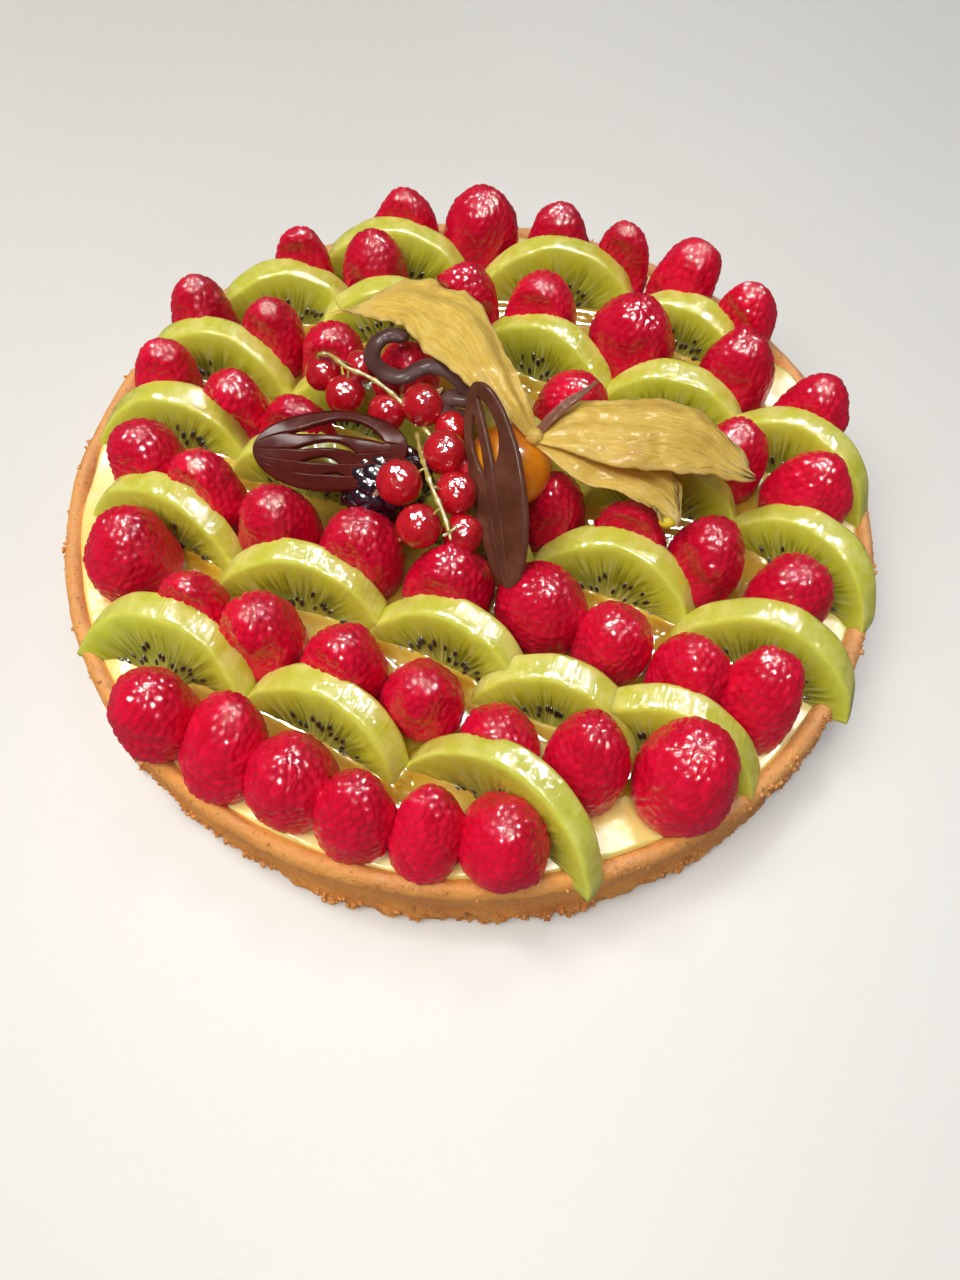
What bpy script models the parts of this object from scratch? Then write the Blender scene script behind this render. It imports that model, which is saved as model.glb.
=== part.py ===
"""A round fruit tart, 20 cm across.

A ring-baked case of sweet pastry is filled with pastry cream. Slanting rows of raspberries stand
in it on their open ends, with half slices of kiwi leaning back between the rows. Redcurrants, a
bramble, three pieces of moulded chocolate and a physalis with its opened husk lie on top.

Metres, +Z up. The origin is the middle of the case's flat underside, and the front is -Y.
"""
import math

import bmesh
import bpy
from mathutils import Matrix, Vector

MM = 0.001

# Driving dimensions
CASE_RADIUS = 100 * MM
CASE_HEIGHT = 21 * MM
CASE_WALL = 4.6 * MM
CASE_FLOOR = 4 * MM
CASE_SIDES = 48
CREAM_BELOW_RIM = 3 * MM
SLICE_THICKNESS = 6.4 * MM
SLICE_CUT = 0.2     # how far off the disc's middle the straight cut passes, in radii
PLATE_SIDES = 24
STALK_DIAMETER = 1.3 * MM
CURL_DIAMETER = 3.4 * MM
PLATE_THICKNESS = 1.6 * MM
HUSK_THICKNESS = 0.8 * MM
AIR = 0.3 * MM      # left between pieces that touch
GIVE = 0.45 * MM    # how far a cutting shape is grown along its normals to leave that air
CAP_WELD = 0.001 * MM   # corners closer than this are one: where a curve's cap meets its side,
CUT_WELD = 0.01 * MM    # along a cut, and on the axis of a turned shape

CREAM_TOP = CASE_HEIGHT - CREAM_BELOW_RIM
BED = CREAM_TOP + AIR   # what stands on the cream starts here
CREAM_RADIUS = CASE_RADIUS - CASE_WALL - AIR

# Raspberries, row by row from the front: middle of the base in x and y, greatest width, height,
# and how far the tip is off plumb in x and y, all in millimetres.
RASPBERRIES = {
    "a1": (-64, -66.5, 19, 23, 0, 0),
    "a2": (-50.4, -75.4, 18.4, 22, 4, 6),
    "a3": (-33.8, -80, 19.8, 22, 0.5, 1),
    "a4": (-20.4, -86.8, 17, 21, 1, 2.5),
    "a5": (-5.2, -90.2, 16.2, 20.5, 0.5, 4),
    "a6": (10.6, -89, 20, 20, 0, -1),
    "b1": (-78, -25.8, 21.5, 21, 0, 0),
    "b2": (-60.5, -41.7, 17.5, 22, 0, 0),
    "b3": (-45, -46.5, 19.5, 23, 0, 0),
    "b4": (-26, -52.5, 19, 22, 0, 0),
    "b5": (-8, -58, 18.5, 21, 0, -3),
    "b6": (9, -69.5, 19, 19, -1, 0),
    "b7": (27.5, -73.2, 18, 22, 0, 4),
    "b8": (48, -75, 22, 24, 0, 2),
    "c1": (-79, -1, 20, 22, 0, 0),
    "c2": (-63.5, -10, 19.5, 23, 0, 0),
    "c3": (-45, -18, 19, 23, 0, 0),
    "c4": (-25, -24, 21, 23, 0, 0),
    "c5": (-4, -31.5, 20.5, 23, 0, 0),
    "c6": (17, -34.5, 21.5, 22, 0, -2),
    "c7": (33, -42.2, 18.5, 21, 0, -2),
    "c8": (49.6, -51, 17.8, 23, 0, 0),
    "c9": (63.2, -58, 17.4, 23, 2.5, 6),
    "d1": (-79, 26, 16, 22, 0, 0),
    "d2": (-60, 15.5, 18.5, 23, 0, 0),
    "d3": (-44, 9.3, 19.5, 22, 0, 0),
    "d4": (19, -8.5, 17, 21, 0, 0),
    "d5": (36.8, -16.8, 19, 22, 0, 0),
    "d6": (55, -21, 18, 23, 0, 0),
    "d7": (73.5, -30, 19, 22, 0, 0),
    "e1": (-74, 47.5, 17, 23, 0, 0),
    "e2": (-54.5, 41, 17, 23, 0, 0),
    "e3": (-37.5, 34, 18, 22, 0, 0),
    "e4": (-18, 29.5, 16, 22, 0, 0),
    "e5": (23.5, 21, 18.5, 23, 0, 0),
    "e6": (63, 9.5, 18, 23, 0, 0),
    "e7": (81.5, 0, 21, 23, 0, 0),
    "f1": (-49.5, 66.5, 17, 23, 0, 0),
    "f2": (-30.5, 66.5, 19, 23, 0, 0),
    "f3": (-5, 55.5, 18, 23, 0, 0),
    "f4": (15, 54, 20, 23, 0, 0),
    "f5": (40, 46, 22.5, 24, -1, 0),
    "f6": (66.5, 37, 20, 24, 0, 0),
    "f7": (83.5, 23.5, 19.5, 23, 1, 0),
    "g1": (-23.5, 83, 19, 23, 0, 1),
    "g2": (-2, 84.5, 21, 24, 0, 0),
    "g3": (19.5, 81, 19, 23, 0, 0),
    "g4": (37.5, 75.5, 16, 23, 0, 0),
    "g5": (52.5, 69, 18, 24, 4, 0),
    "g6": (68, 54.5, 18, 23, 2, 1),
}
# Neighbours that are pressed into each other and hold together.
PRESSED_PAIRS = [
    ("a1", "a2"), ("a3", "a4"), ("b2", "b3"), ("c6", "c7"), ("c8", "c9"), ("d2", "d3"),
]

# Kiwi half slices, chain by chain from the left: middle of the cut edge in x and y, turn from the
# X axis in degrees, radius of the disc it was cut from, lean back in degrees, and how far the
# slice is bowed round what stands in front of it.
KIWI_CHAINS = {
    "a": [
        (-66.5, -51.8, -18, 22, 24, 2),
        (-29.2, -66.4, -26, 20.8, 22, 1),
        (11, -82, -33, 25, 9, 5),
    ],
    "b": [
        (-72, -17, -24, 22, 12, 2),
        (-38, -34.5, -12, 22.5, 16, 2),
        (-3, -47, -25, 21.5, 18, 2),
        (21, -60, -17, 20.5, 22, 1),
        (45, -66.5, -17, 22, 19, 2),
    ],
    "c": [
        (-76, 11.5, -7, 20.5, 20, 1),
        (-41.5, -0.5, -15, 21, 14, 1),
        (-5, -16.5, -20, 22.5, 20, 1),
        (34, -26.5, -19, 21.5, 20, 2),
        (68, -44.5, -22, 22.8, 17, 2),
    ],
    "d": [
        (-69, 33, -11, 22, 16, 1),
        (-32, 20, -18, 20.5, 20, 1),
        (6, 7.5, -18, 22, 20, 1),
        (46, -1, -8, 21, 20, 1),
        (78.5, -18.5, -38, 21.5, 18, 2),
    ],
    "e": [(-53, 56, 3, 21, 20, 1), (-24.5, 50.5, 1, 22, 19, 1)],
    "f": [(16, 40, -26, 22, 18, 1), (50, 26, -17, 21.5, 20, 1), (79, 11, -30, 23, 15, 2)],
    "g": [(-25, 72, -8, 23.5, 17, 1), (20, 68, -5, 24, 16, 1), (53.5, 52.5, -27, 20, 20, 1)],
}

# Redcurrants on their two strings: middle in x, y and z, and diameter.
CURRANTS_1 = [
    (-37.5, 19.5, 40, 8.8),
    (-31.5, 13, 40, 9.8),
    (-28.5, 20.5, 41.5, 8.4),
    (-21.5, 16.5, 40.5, 8),
    (-21, 8, 40.5, 9.2),
    (-12.5, 8, 43.5, 10.2),
    (-5.5, 3.5, 41, 8.4),
]
STRING_1 = [(-38.5, 19.5, 45), (-31.5, 17, 45.5), (-24, 15.5, 44.5), (-18, 11, 43.5), (-9, 5, 43)]
CURRANTS_2 = [
    (-6.5, -7, 45.5, 10.2),
    (-1, -8, 41.5, 7.4),
    (-16, -15.5, 45, 10.6),
    (-3.5, -16.5, 43.5, 9.8),
    (-11, -25, 42.5, 10),
    (-1.5, -23.5, 38, 9.4),
]
STRING_2 = [
    (-9, 5, 43), (-11.5, 0, 43), (-11.5, -6, 44.5), (-9.5, -12.5, 46.5), (-7.5, -19.5, 47),
    (-5.5, -25, 45.5),
]

# Bramble, lying on its side: middle, turn from the X axis in degrees, length and width
BRAMBLE_MIDDLE = (-20, -8.5, 35.5)
BRAMBLE_TURN = 20
BRAMBLE_SIZE = (22, 17.5)

# Physalis: the fruit's middle and diameter, and the joint where it hangs in its husk
FRUIT_MIDDLE = (8.2, -6.2, 41)
FRUIT_DIAMETER = 19.2
HUSK_JOINT = (13.5, -4, 49)
HUSK_JOINT_DIAMETER = 4.4
# Lobes of the husk: middle line in x, y and z, half width in x and y, and rise of the arch
HUSK_LOBES = [
    [
        (13.5, -4, 49, 1, 1, 0.2),
        (8.4, 1, 53, 2.9, 2.4, 1),
        (1.2, 12, 53.5, 4.7, 4.6, 2),
        (-5.7, 25.5, 51, 5, 8.2, 3),
        (-14.3, 34.4, 48.5, 3.6, 8.2, 2.5),
        (-23.7, 39, 45, 1.6, 5.6, 1.5),
        (-35.5, 38.3, 42, 0.2, 0.7, 0),
    ],
    [
        (13.5, -4, 49, 0.3, 1.4, 0.2),
        (22, -2, 50, 0.3, 7, 1.5),
        (31.5, -3, 50.5, 0.7, 9.2, 2.5),
        (42, -2, 49.5, 1.1, 9.7, 2.5),
        (51, -2, 47.5, 1, 7.9, 1.5),
        (58.5, -6, 45, 1.5, 4.5, 0.5),
        (64.8, -7.8, 43, 0.3, 0.6, 0),
    ],
    [
        (13.5, -4, 48.5, 0.3, 1.4, 0.2),
        (22.5, -8.5, 47, 0.3, 4.5, 1),
        (31.5, -10, 45.5, 0.6, 4.8, 1),
        (39, -12, 44, 1.3, 5.8, 1),
        (45, -15, 42.5, 1.6, 4.5, 0.5),
        (46.6, -21, 41.5, 0.2, 0.5, 0),
    ],
    [(13.5, -4, 49.5, 1, -1, 0), (20, 2, 52.5, 0.9, -0.9, 0.2), (27, 8, 55, 0.2, -0.2, 0)],
]

# Chocolate plates: middle, direction along, direction across, half length and half width, then
# their slits as fractions of those halves: start, end, and bow of the outer and the inner edge.
OVAL_PLATE = ((-32.5, -6, 43.2), (35, -0.5, 3.5), (-1.5, 17.5, 6), 17.8, 9.5)
OVAL_SLITS = [
    ((-0.60, 0.42), (0.72, 0.12), 0.50, 0.10),
    ((-0.58, 0.00), (0.36, -0.12), 0.26, 0.10),
    ((-0.42, -0.30), (0.14, -0.38), 0.16, 0.02),
]
WING_PLATE = ((5.1, -16.6, 47.2), (9.3, -36.3, -22), (0.71, -0.15, 0.69), 22.6, 7.6)
WING_SLITS = [
    ((-0.88, -0.05), (-0.15, 0.10), 0.42, 0.02),
    ((-0.72, -0.30), (-0.10, -0.28), 0.02, -0.30),
]
# Chocolate curl: the middle line of one strip that hooks round and runs back on itself
CURL_LINE = [
    (-17.1, 27.1, 45.5), (-21, 27.8, 45.5), (-24, 26, 45.5), (-25.4, 22.5, 45.5), (-24.8, 18.3, 46),
    (-22, 14.8, 46.7), (-17.6, 12.8, 47.5), (-14.2, 14.6, 48), (-11.3, 16.1, 48), (-8, 15.6, 48),
    (-4.8, 13.6, 47.5), (-2.2, 11.4, 46), (-2.4, 9.6, 44.8), (-5.6, 10.2, 44.2), (-7.6, 9.4, 43.4),
    (-7.2, 6.6, 42.8), (-5, 5.6, 42.8), (-1.6, 5.6, 43),
]


def clear_scene():
    for item in list(bpy.data.objects):
        bpy.data.objects.remove(item, do_unlink=True)


def new_material(name, colour, roughness):
    """A Principled material in linear colour."""
    material = bpy.data.materials.new(name)
    material.use_nodes = True
    shader = material.node_tree.nodes["Principled BSDF"]
    shader.inputs["Base Color"].default_value = (*colour, 1)
    shader.inputs["Roughness"].default_value = roughness
    shader.inputs["Metallic"].default_value = 0
    material.diffuse_color = (*colour, 1)
    return material


def new_collection(name):
    collection = bpy.data.collections.new(name)
    bpy.context.scene.collection.children.link(collection)
    return collection


clear_scene()
PARTS = new_collection("fruit_tart")
CUTTERS = new_collection("cutters")

PASTRY = new_material("baked_pastry", (0.60, 0.22, 0.055), 0.75)
CREAM = new_material("pastry_cream", (0.85, 0.68, 0.27), 0.35)
RASPBERRY = new_material("raspberry", (0.55, 0.012, 0.035), 0.30)
KIWI = new_material("kiwi_flesh", (0.45, 0.50, 0.07), 0.20)
CURRANT = new_material("redcurrant", (0.45, 0.004, 0.018), 0.12)
BRAMBLE = new_material("bramble", (0.012, 0.006, 0.014), 0.20)
CHOCOLATE = new_material("dark_chocolate", (0.055, 0.014, 0.010), 0.35)
PHYSALIS = new_material("physalis_fruit", (0.95, 0.30, 0.012), 0.25)
HUSK = new_material("physalis_husk", (0.70, 0.46, 0.12), 0.60)


def evaluated_mesh(item):
    """The object's mesh with its modifiers applied."""
    graph = bpy.context.evaluated_depsgraph_get()
    return bpy.data.meshes.new_from_object(item.evaluated_get(graph))


def mesh_of(bm):
    mesh = bpy.data.meshes.new("shape")
    bm.to_mesh(mesh)
    bm.free()
    return mesh


def mesh_of_curve(curve):
    """A curve's filled shape as a closed mesh, with its caps welded on."""
    item = bpy.data.objects.new("curve", curve)
    CUTTERS.objects.link(item)
    bm = bmesh.new()
    bm.from_mesh(evaluated_mesh(item))
    bpy.data.objects.remove(item, do_unlink=True)
    bmesh.ops.remove_doubles(bm, verts=bm.verts, dist=CAP_WELD)
    bmesh.ops.recalc_face_normals(bm, faces=bm.faces)
    return mesh_of(bm)


def frame_of(origin, x_axis, y_axis, z_axis):
    """The matrix that takes the unit axes to three given vectors at a given origin."""
    frame = Matrix.Translation(origin)
    for column, axis in enumerate((x_axis, y_axis, z_axis)):
        for row in range(3):
            frame[row][column] = axis[row]
    return frame


def turned(profile, sides):
    """A profile of (radius, height) points turned once round the Z axis."""
    mesh = bpy.data.meshes.new("profile")
    points = [(radius, 0, height) for radius, height in profile]
    mesh.from_pydata(points, [(i, i + 1) for i in range(len(points) - 1)], [])
    item = bpy.data.objects.new("profile", mesh)
    CUTTERS.objects.link(item)
    screw = item.modifiers.new("turn", "SCREW")
    screw.steps = screw.render_steps = sides
    screw.use_merge_vertices = True
    screw.merge_threshold = CUT_WELD
    made = evaluated_mesh(item)
    bpy.data.objects.remove(item, do_unlink=True)
    return made


def combined(mesh, other, operation):
    """A Boolean of two closed meshes, as a new mesh."""
    base = bpy.data.objects.new("base", mesh)
    tool = bpy.data.objects.new("tool", other)
    CUTTERS.objects.link(base)
    CUTTERS.objects.link(tool)
    boolean = base.modifiers.new("boolean", "BOOLEAN")
    boolean.operation = operation
    boolean.solver = "EXACT"
    boolean.object = tool
    made = evaluated_mesh(base)
    bpy.data.objects.remove(base, do_unlink=True)
    bpy.data.objects.remove(tool, do_unlink=True)
    return made


def together(shapes):
    """The union of a list of meshes, which are left as they are."""
    whole = shapes[0].copy()
    for shape in shapes[1:]:
        whole = combined(whole, shape.copy(), "UNION")
    return whole


def grown(mesh):
    """The same shape, larger all round by GIVE."""
    bigger = mesh.copy()
    normals = [vertex.normal.copy() for vertex in mesh.vertices]
    for vertex, normal in zip(bigger.vertices, normals):
        vertex.co += normal * GIVE
    return bigger


def limits(mesh):
    """Lowest and highest corner of a mesh."""
    places = [vertex.co for vertex in mesh.vertices]
    low = Vector(min(place[axis] for place in places) for axis in range(3))
    high = Vector(max(place[axis] for place in places) for axis in range(3))
    return low, high


def apart(mesh, other):
    """True if the two meshes' boxes stay clear of each other."""
    low, high = limits(mesh)
    other_low, other_high = limits(other)
    return any(
        low[axis] > other_high[axis] or other_low[axis] > high[axis] for axis in range(3)
    )


CRUMB_SHARE = 0.3   # a body with more than this share of the largest one's corners is no crumb


def largest_body(mesh, name):
    """Only the largest connected body of a mesh, without the crumbs that a cut leaves.

    It stops if something larger than a crumb would go, such as a berry that has come off its pair.
    """
    bm = bmesh.new()
    bm.from_mesh(mesh)
    bmesh.ops.remove_doubles(bm, verts=bm.verts, dist=CUT_WELD)
    left = set(bm.verts)
    bodies = []
    while left:
        body = {left.pop()}
        edge_of_body = set(body)
        while edge_of_body:
            reached = {
                edge.other_vert(vertex) for vertex in edge_of_body for edge in vertex.link_edges
            }
            edge_of_body = reached - body
            body |= edge_of_body
        left -= body
        bodies.append(body)
    bodies.sort(key=len)
    for crumb in bodies[:-1]:
        if len(crumb) > CRUMB_SHARE * len(bodies[-1]):
            raise ValueError(f"{name} has come apart")
        bmesh.ops.delete(bm, geom=list(crumb), context="VERTS")
    return mesh_of(bm)


placed = []     # grown copies of the shapes already in place, which later, softer ones give way to


def place(name, shapes, material):
    """Adds one piece, joined from its shapes and cut back to leave air round firmer pieces."""
    mesh = together(shapes)
    for firm in placed:
        if not apart(mesh, firm):
            mesh = combined(mesh, firm, "DIFFERENCE")
    mesh = largest_body(mesh, name)
    mesh.materials.clear()
    mesh.materials.append(material)
    mesh.name = name
    mesh.shade_smooth()
    mesh.set_sharp_from_angle(angle=math.radians(35))
    item = bpy.data.objects.new(name, mesh)
    PARTS.objects.link(item)
    placed.extend(grown(shape) for shape in shapes)
    return item


# Pastry case: floor and upright wall in one, with a rounded rim
def pastry_case():
    inner = CASE_RADIUS - CASE_WALL
    half_wall = CASE_WALL / 2
    rim = [
        (
            inner + half_wall * (1 - math.cos(angle)),
            CASE_HEIGHT - half_wall + half_wall * math.sin(angle),
        )
        for angle in (math.pi * step / 4 for step in range(5))
    ]
    inside = [(0, CASE_FLOOR), (inner - CASE_FLOOR / 2, CASE_FLOOR), (inner, CASE_FLOOR * 1.5)]
    outside = [(CASE_RADIUS, CASE_FLOOR / 4), (CASE_RADIUS - CASE_FLOOR / 4, 0), (0, 0)]
    return turned(inside + rim + outside, CASE_SIDES)


# Pastry cream: one disc that fills the case to just under its rim
def pastry_cream():
    bottom = CASE_FLOOR + AIR
    return turned(
        [
            (0, CREAM_TOP),
            (CREAM_RADIUS, CREAM_TOP),
            (CREAM_RADIUS, CASE_FLOOR * 1.5 + AIR),
            (CREAM_RADIUS - CASE_FLOOR / 2, bottom),
            (0, bottom),
        ],
        CASE_SIDES,
    )


# Raspberries: a flat open end, widest a quarter of the way up, and a blunt tip
BERRY_SIDES = 8
BERRY_PROFILE = [(0, 1), (0.22, 0.94), (0.40, 0.66), (0.50, 0.28), (0.42, 0), (0, 0)]
berry_shape = turned(BERRY_PROFILE, BERRY_SIDES)


def raspberry(x, y, width, height, lean_x, lean_y):
    """One raspberry, sheared so that its tip leans while its open end stays flat on the cream."""
    mesh = berry_shape.copy()
    mesh.transform(
        frame_of(
            (x * MM, y * MM, BED),
            Vector((width, 0, 0)) * MM,
            Vector((0, width, 0)) * MM,
            Vector((lean_x, lean_y, height)) * MM,
        )
    )
    return mesh


# Bramble: rounder at both ends than a raspberry, lying on its side
def bramble():
    length, width = BRAMBLE_SIZE
    steps = [math.pi * step / 6 for step in range(7)]
    mesh = turned([(math.sin(turn) / 2, math.cos(turn) / 2) for turn in steps], 10)
    heading = math.radians(BRAMBLE_TURN)
    lying = Vector((math.cos(heading), math.sin(heading), 0))
    aside = Vector((-math.sin(heading), math.cos(heading), 0))
    mesh.transform(
        frame_of(
            Vector(BRAMBLE_MIDDLE) * MM,
            aside * width * MM,
            Vector((0, 0, width)) * MM,
            lying * length * MM,
        )
    )
    return mesh


# Physalis fruit: a smooth ball
def physalis_fruit():
    steps = [math.pi * step / 7 for step in range(8)]
    radius = FRUIT_DIAMETER / 2 * MM
    mesh = turned([(radius * math.sin(turn), radius * math.cos(turn)) for turn in steps], 14)
    mesh.transform(Matrix.Translation(Vector(FRUIT_MIDDLE) * MM))
    return mesh


# Kiwi: rather less than half of a disc, standing on the cut edge, leaning back and bowed
SLICE_STEPS = 8


def kiwi_slice(x, y, turn, radius, lean, bow):
    """One slice in columns from the cut edge to the arc, with its cut edge flat on the cream."""
    heading = math.radians(turn)
    tilt = math.radians(lean)
    along = Vector((math.cos(heading), math.sin(heading), 0))
    back = Vector((-math.sin(heading), math.cos(heading), 0))
    up = back * math.sin(tilt) + Vector((0, 0, math.cos(tilt)))
    half_thickness = back * SLICE_THICKNESS / math.cos(tilt) / 2
    middle = Vector((x * MM, y * MM, BED))
    end_angle = math.asin(SLICE_CUT)
    bm = bmesh.new()
    faces = []
    for side in (-half_thickness, half_thickness):
        foot, arc = [], []
        for step in range(SLICE_STEPS + 1):
            angle = end_angle + (math.pi - 2 * end_angle) * step / SLICE_STEPS
            across = math.cos(angle)
            column = middle + side + along * across * radius * MM
            column += back * bow * MM * (0.5 - across**2)
            height = (math.sin(angle) - SLICE_CUT) * radius * MM
            foot.append(bm.verts.new(column))
            arc.append(bm.verts.new(column + up * height) if 0 < step < SLICE_STEPS else foot[-1])
        faces.append((foot, arc))
    (front_foot, front_arc), (back_foot, back_arc) = faces
    for i in range(SLICE_STEPS):
        for foot, arc in faces:
            corners = dict.fromkeys((foot[i], foot[i + 1], arc[i + 1], arc[i]))
            bm.faces.new(list(corners))
        bm.faces.new((front_foot[i], front_foot[i + 1], back_foot[i + 1], back_foot[i]))
        bm.faces.new((front_arc[i], front_arc[i + 1], back_arc[i + 1], back_arc[i]))
    bmesh.ops.recalc_face_normals(bm, faces=bm.faces)
    return mesh_of(bm)


# Round and stringy shapes: the currants, their stalks, the curl and the joint of the husk
def ball(middle, diameter):
    """A coarse ball, its middle and diameter in millimetres."""
    bm = bmesh.new()
    bmesh.ops.create_uvsphere(bm, u_segments=8, v_segments=4, radius=diameter / 2 * MM)
    bmesh.ops.translate(bm, verts=bm.verts, vec=Vector(middle) * MM)
    return mesh_of(bm)


def tube(points, diameter, resolution):
    """A round strand along the points, closed at both ends."""
    line = bpy.data.curves.new("strand", "CURVE")
    line.dimensions = "3D"
    line.bevel_depth = diameter / 2
    line.bevel_resolution = resolution
    line.use_fill_caps = True
    spline = line.splines.new("POLY")
    spline.points.add(len(points) - 1)
    for node, point in zip(spline.points, points):
        node.co = (*(Vector(point) * MM), 1)
    return mesh_of_curve(line)


# Chocolate plates: thin moulded ovals, cut through by slits
SLIT_STEPS = 5


def crescent(start, end, outer, inner):
    """A closed sliver between two bows that share their ends."""
    steps = [step / SLIT_STEPS for step in range(SLIT_STEPS + 1)]
    start, end = Vector(start), Vector(end)
    there = [start.lerp(end, t) + Vector((0, outer * 4 * t * (1 - t))) for t in steps]
    back = [start.lerp(end, t) + Vector((0, inner * 4 * t * (1 - t))) for t in steps]
    return there + back[-2:0:-1]


def plate(middle, along, across, half_length, half_width, slits):
    """An oval plate with crescent slits through it."""
    turns = [math.tau * step / PLATE_SIDES for step in range(PLATE_SIDES)]
    outlines = [[Vector((math.cos(turn), math.sin(turn))) for turn in turns]]
    outlines += [crescent(*numbers) for numbers in slits]
    flat = bpy.data.curves.new("plate", "CURVE")
    flat.dimensions = "2D"
    flat.fill_mode = "BOTH"
    flat.extrude = PLATE_THICKNESS / 2
    for outline in outlines:
        spline = flat.splines.new("POLY")
        spline.points.add(len(outline) - 1)
        for node, point in zip(spline.points, outline):
            node.co = (point.x * half_length * MM, point.y * half_width * MM, 0, 1)
        spline.use_cyclic_u = True
    mesh = mesh_of_curve(flat)
    x_axis = Vector(along).normalized()
    y_axis = Vector(across)
    y_axis = (y_axis - x_axis * y_axis.dot(x_axis)).normalized()
    mesh.transform(frame_of(Vector(middle) * MM, x_axis, y_axis, x_axis.cross(y_axis)))
    return mesh


# Physalis husk: papery lobes that open from one joint, and the stalk behind it
def husk_lobe(stations):
    """One arched, leaf-shaped sheet of the husk."""
    across = [-1, -0.5, 0, 0.5, 1]
    bm = bmesh.new()
    rows = [
        [
            bm.verts.new(Vector((x + s * half_x, y + s * half_y, z + rise * (1 - s * s))) * MM)
            for s in across
        ]
        for x, y, z, half_x, half_y, rise in stations
    ]
    for row, following in zip(rows, rows[1:]):
        for i in range(len(across) - 1):
            bm.faces.new((row[i], row[i + 1], following[i + 1], following[i]))
    bmesh.ops.recalc_face_normals(bm, faces=bm.faces)
    sheet = bpy.data.objects.new("sheet", mesh_of(bm))
    CUTTERS.objects.link(sheet)
    solid = sheet.modifiers.new("thickness", "SOLIDIFY")
    solid.thickness = HUSK_THICKNESS
    solid.offset = 0
    made = evaluated_mesh(sheet)
    bpy.data.objects.remove(sheet, do_unlink=True)
    return made


# Redcurrants: two strings of fruit, each hung from its stalk by a short one of its own
def currant_strings():
    """The shapes of both strings of redcurrants, each fruit on its short stalk."""
    shapes = [tube(line, STALK_DIAMETER, 0) for line in (STRING_1, STRING_2)]
    for line, fruits in ((STRING_1, CURRANTS_1), (STRING_2, CURRANTS_2)):
        for x, y, z, diameter in fruits:
            middle = Vector((x, y, z))
            root = nearest_on(line, middle)
            shapes.append(ball(middle, diameter))
            if (root - middle).length > diameter / 4:
                shapes.append(tube([root, middle], STALK_DIAMETER, 0))
    return shapes


def nearest_on(line, middle):
    """The point of a line of straight stretches that is nearest to a given one."""
    found = []
    for start, end in zip(line, line[1:]):
        start, end = Vector(start), Vector(end)
        run = end - start
        share = max(0, min(1, (middle - start).dot(run) / run.length_squared))
        found.append(start + run * share)
    return min(found, key=lambda point: (point - middle).length)


place("pastry_case", [pastry_case()], PASTRY)
cream = bpy.data.objects.new("pastry_cream", pastry_cream())
cream.data.materials.append(CREAM)
PARTS.objects.link(cream)

place("chocolate_oval", [plate(*OVAL_PLATE, OVAL_SLITS)], CHOCOLATE)
place("chocolate_wing", [plate(*WING_PLATE, WING_SLITS)], CHOCOLATE)
place("chocolate_curl", [tube(CURL_LINE, CURL_DIAMETER, 1)], CHOCOLATE)
place("physalis_fruit", [physalis_fruit()], PHYSALIS)
husk = [husk_lobe(lobe) for lobe in HUSK_LOBES] + [ball(HUSK_JOINT, HUSK_JOINT_DIAMETER)]
place("physalis_husk", husk, HUSK)

for letter, slices in KIWI_CHAINS.items():
    place(f"kiwi_{letter}", [kiwi_slice(*numbers) for numbers in slices], KIWI)

place("redcurrants", currant_strings(), CURRANT)
place("bramble", [bramble()], BRAMBLE)

paired = {name for pair in PRESSED_PAIRS for name in pair}
for pair in PRESSED_PAIRS:
    berries = [raspberry(*RASPBERRIES[name]) for name in pair]
    place("raspberries_" + "_".join(pair), berries, RASPBERRY)
for name, numbers in RASPBERRIES.items():
    if name not in paired:
        place(f"raspberry_{name}", [raspberry(*numbers)], RASPBERRY)
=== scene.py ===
"""The finished look of a 20 cm fruit tart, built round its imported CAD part.

Every piece keeps the place and size of its CAD node. Metres, +Z up, the front is -Y.
"""

import math

import bpy
import numpy as np
from mathutils import Matrix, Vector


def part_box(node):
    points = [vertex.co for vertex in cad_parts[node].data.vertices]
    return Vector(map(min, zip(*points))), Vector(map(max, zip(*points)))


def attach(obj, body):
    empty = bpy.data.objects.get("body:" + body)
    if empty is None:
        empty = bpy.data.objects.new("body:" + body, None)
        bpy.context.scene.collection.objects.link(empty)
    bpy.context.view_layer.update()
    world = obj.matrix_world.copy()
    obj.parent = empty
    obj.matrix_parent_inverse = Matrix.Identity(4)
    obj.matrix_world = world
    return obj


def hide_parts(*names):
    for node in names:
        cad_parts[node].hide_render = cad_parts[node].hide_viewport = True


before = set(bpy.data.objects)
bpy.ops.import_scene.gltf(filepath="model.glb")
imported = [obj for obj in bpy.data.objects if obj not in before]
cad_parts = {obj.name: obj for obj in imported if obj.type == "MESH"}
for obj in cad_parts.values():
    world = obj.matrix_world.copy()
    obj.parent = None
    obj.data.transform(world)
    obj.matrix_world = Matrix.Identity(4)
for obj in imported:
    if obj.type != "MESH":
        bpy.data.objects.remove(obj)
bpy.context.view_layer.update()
MM = 0.001


# ---- Pastry case -----------------------------------------------------------------------
# Sweet shortcrust, pressed into a plain ring and baked golden brown. Its rim is rubbed smooth; its
# top is painted lighter as painted light from above, and its pits are darkened with painted shade.
# The foot of the wall is crumbly and has crept out under the ring. It holds the rest.

def corner_value(i, j, k, seed):
    """A number from 0 to 1 for each whole-numbered place i, j, k.

    The three are multiplied by large odd numbers, joined by exclusive or, and mixed by shifts.
    """
    h = (i * 73856093) ^ (j * 19349663) ^ (k * 83492791) ^ (seed * 2654435761)
    h = (h & 0xFFFFFFFF) ^ ((h & 0xFFFFFFFF) >> 15)
    h = (h * 1274126177) & 0xFFFFFFFF
    h = ((h ^ (h >> 13)) * 668265263) & 0xFFFFFFFF
    return ((h ^ (h >> 16)) & 0xFFFFFF) / 0xFFFFFF


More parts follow.
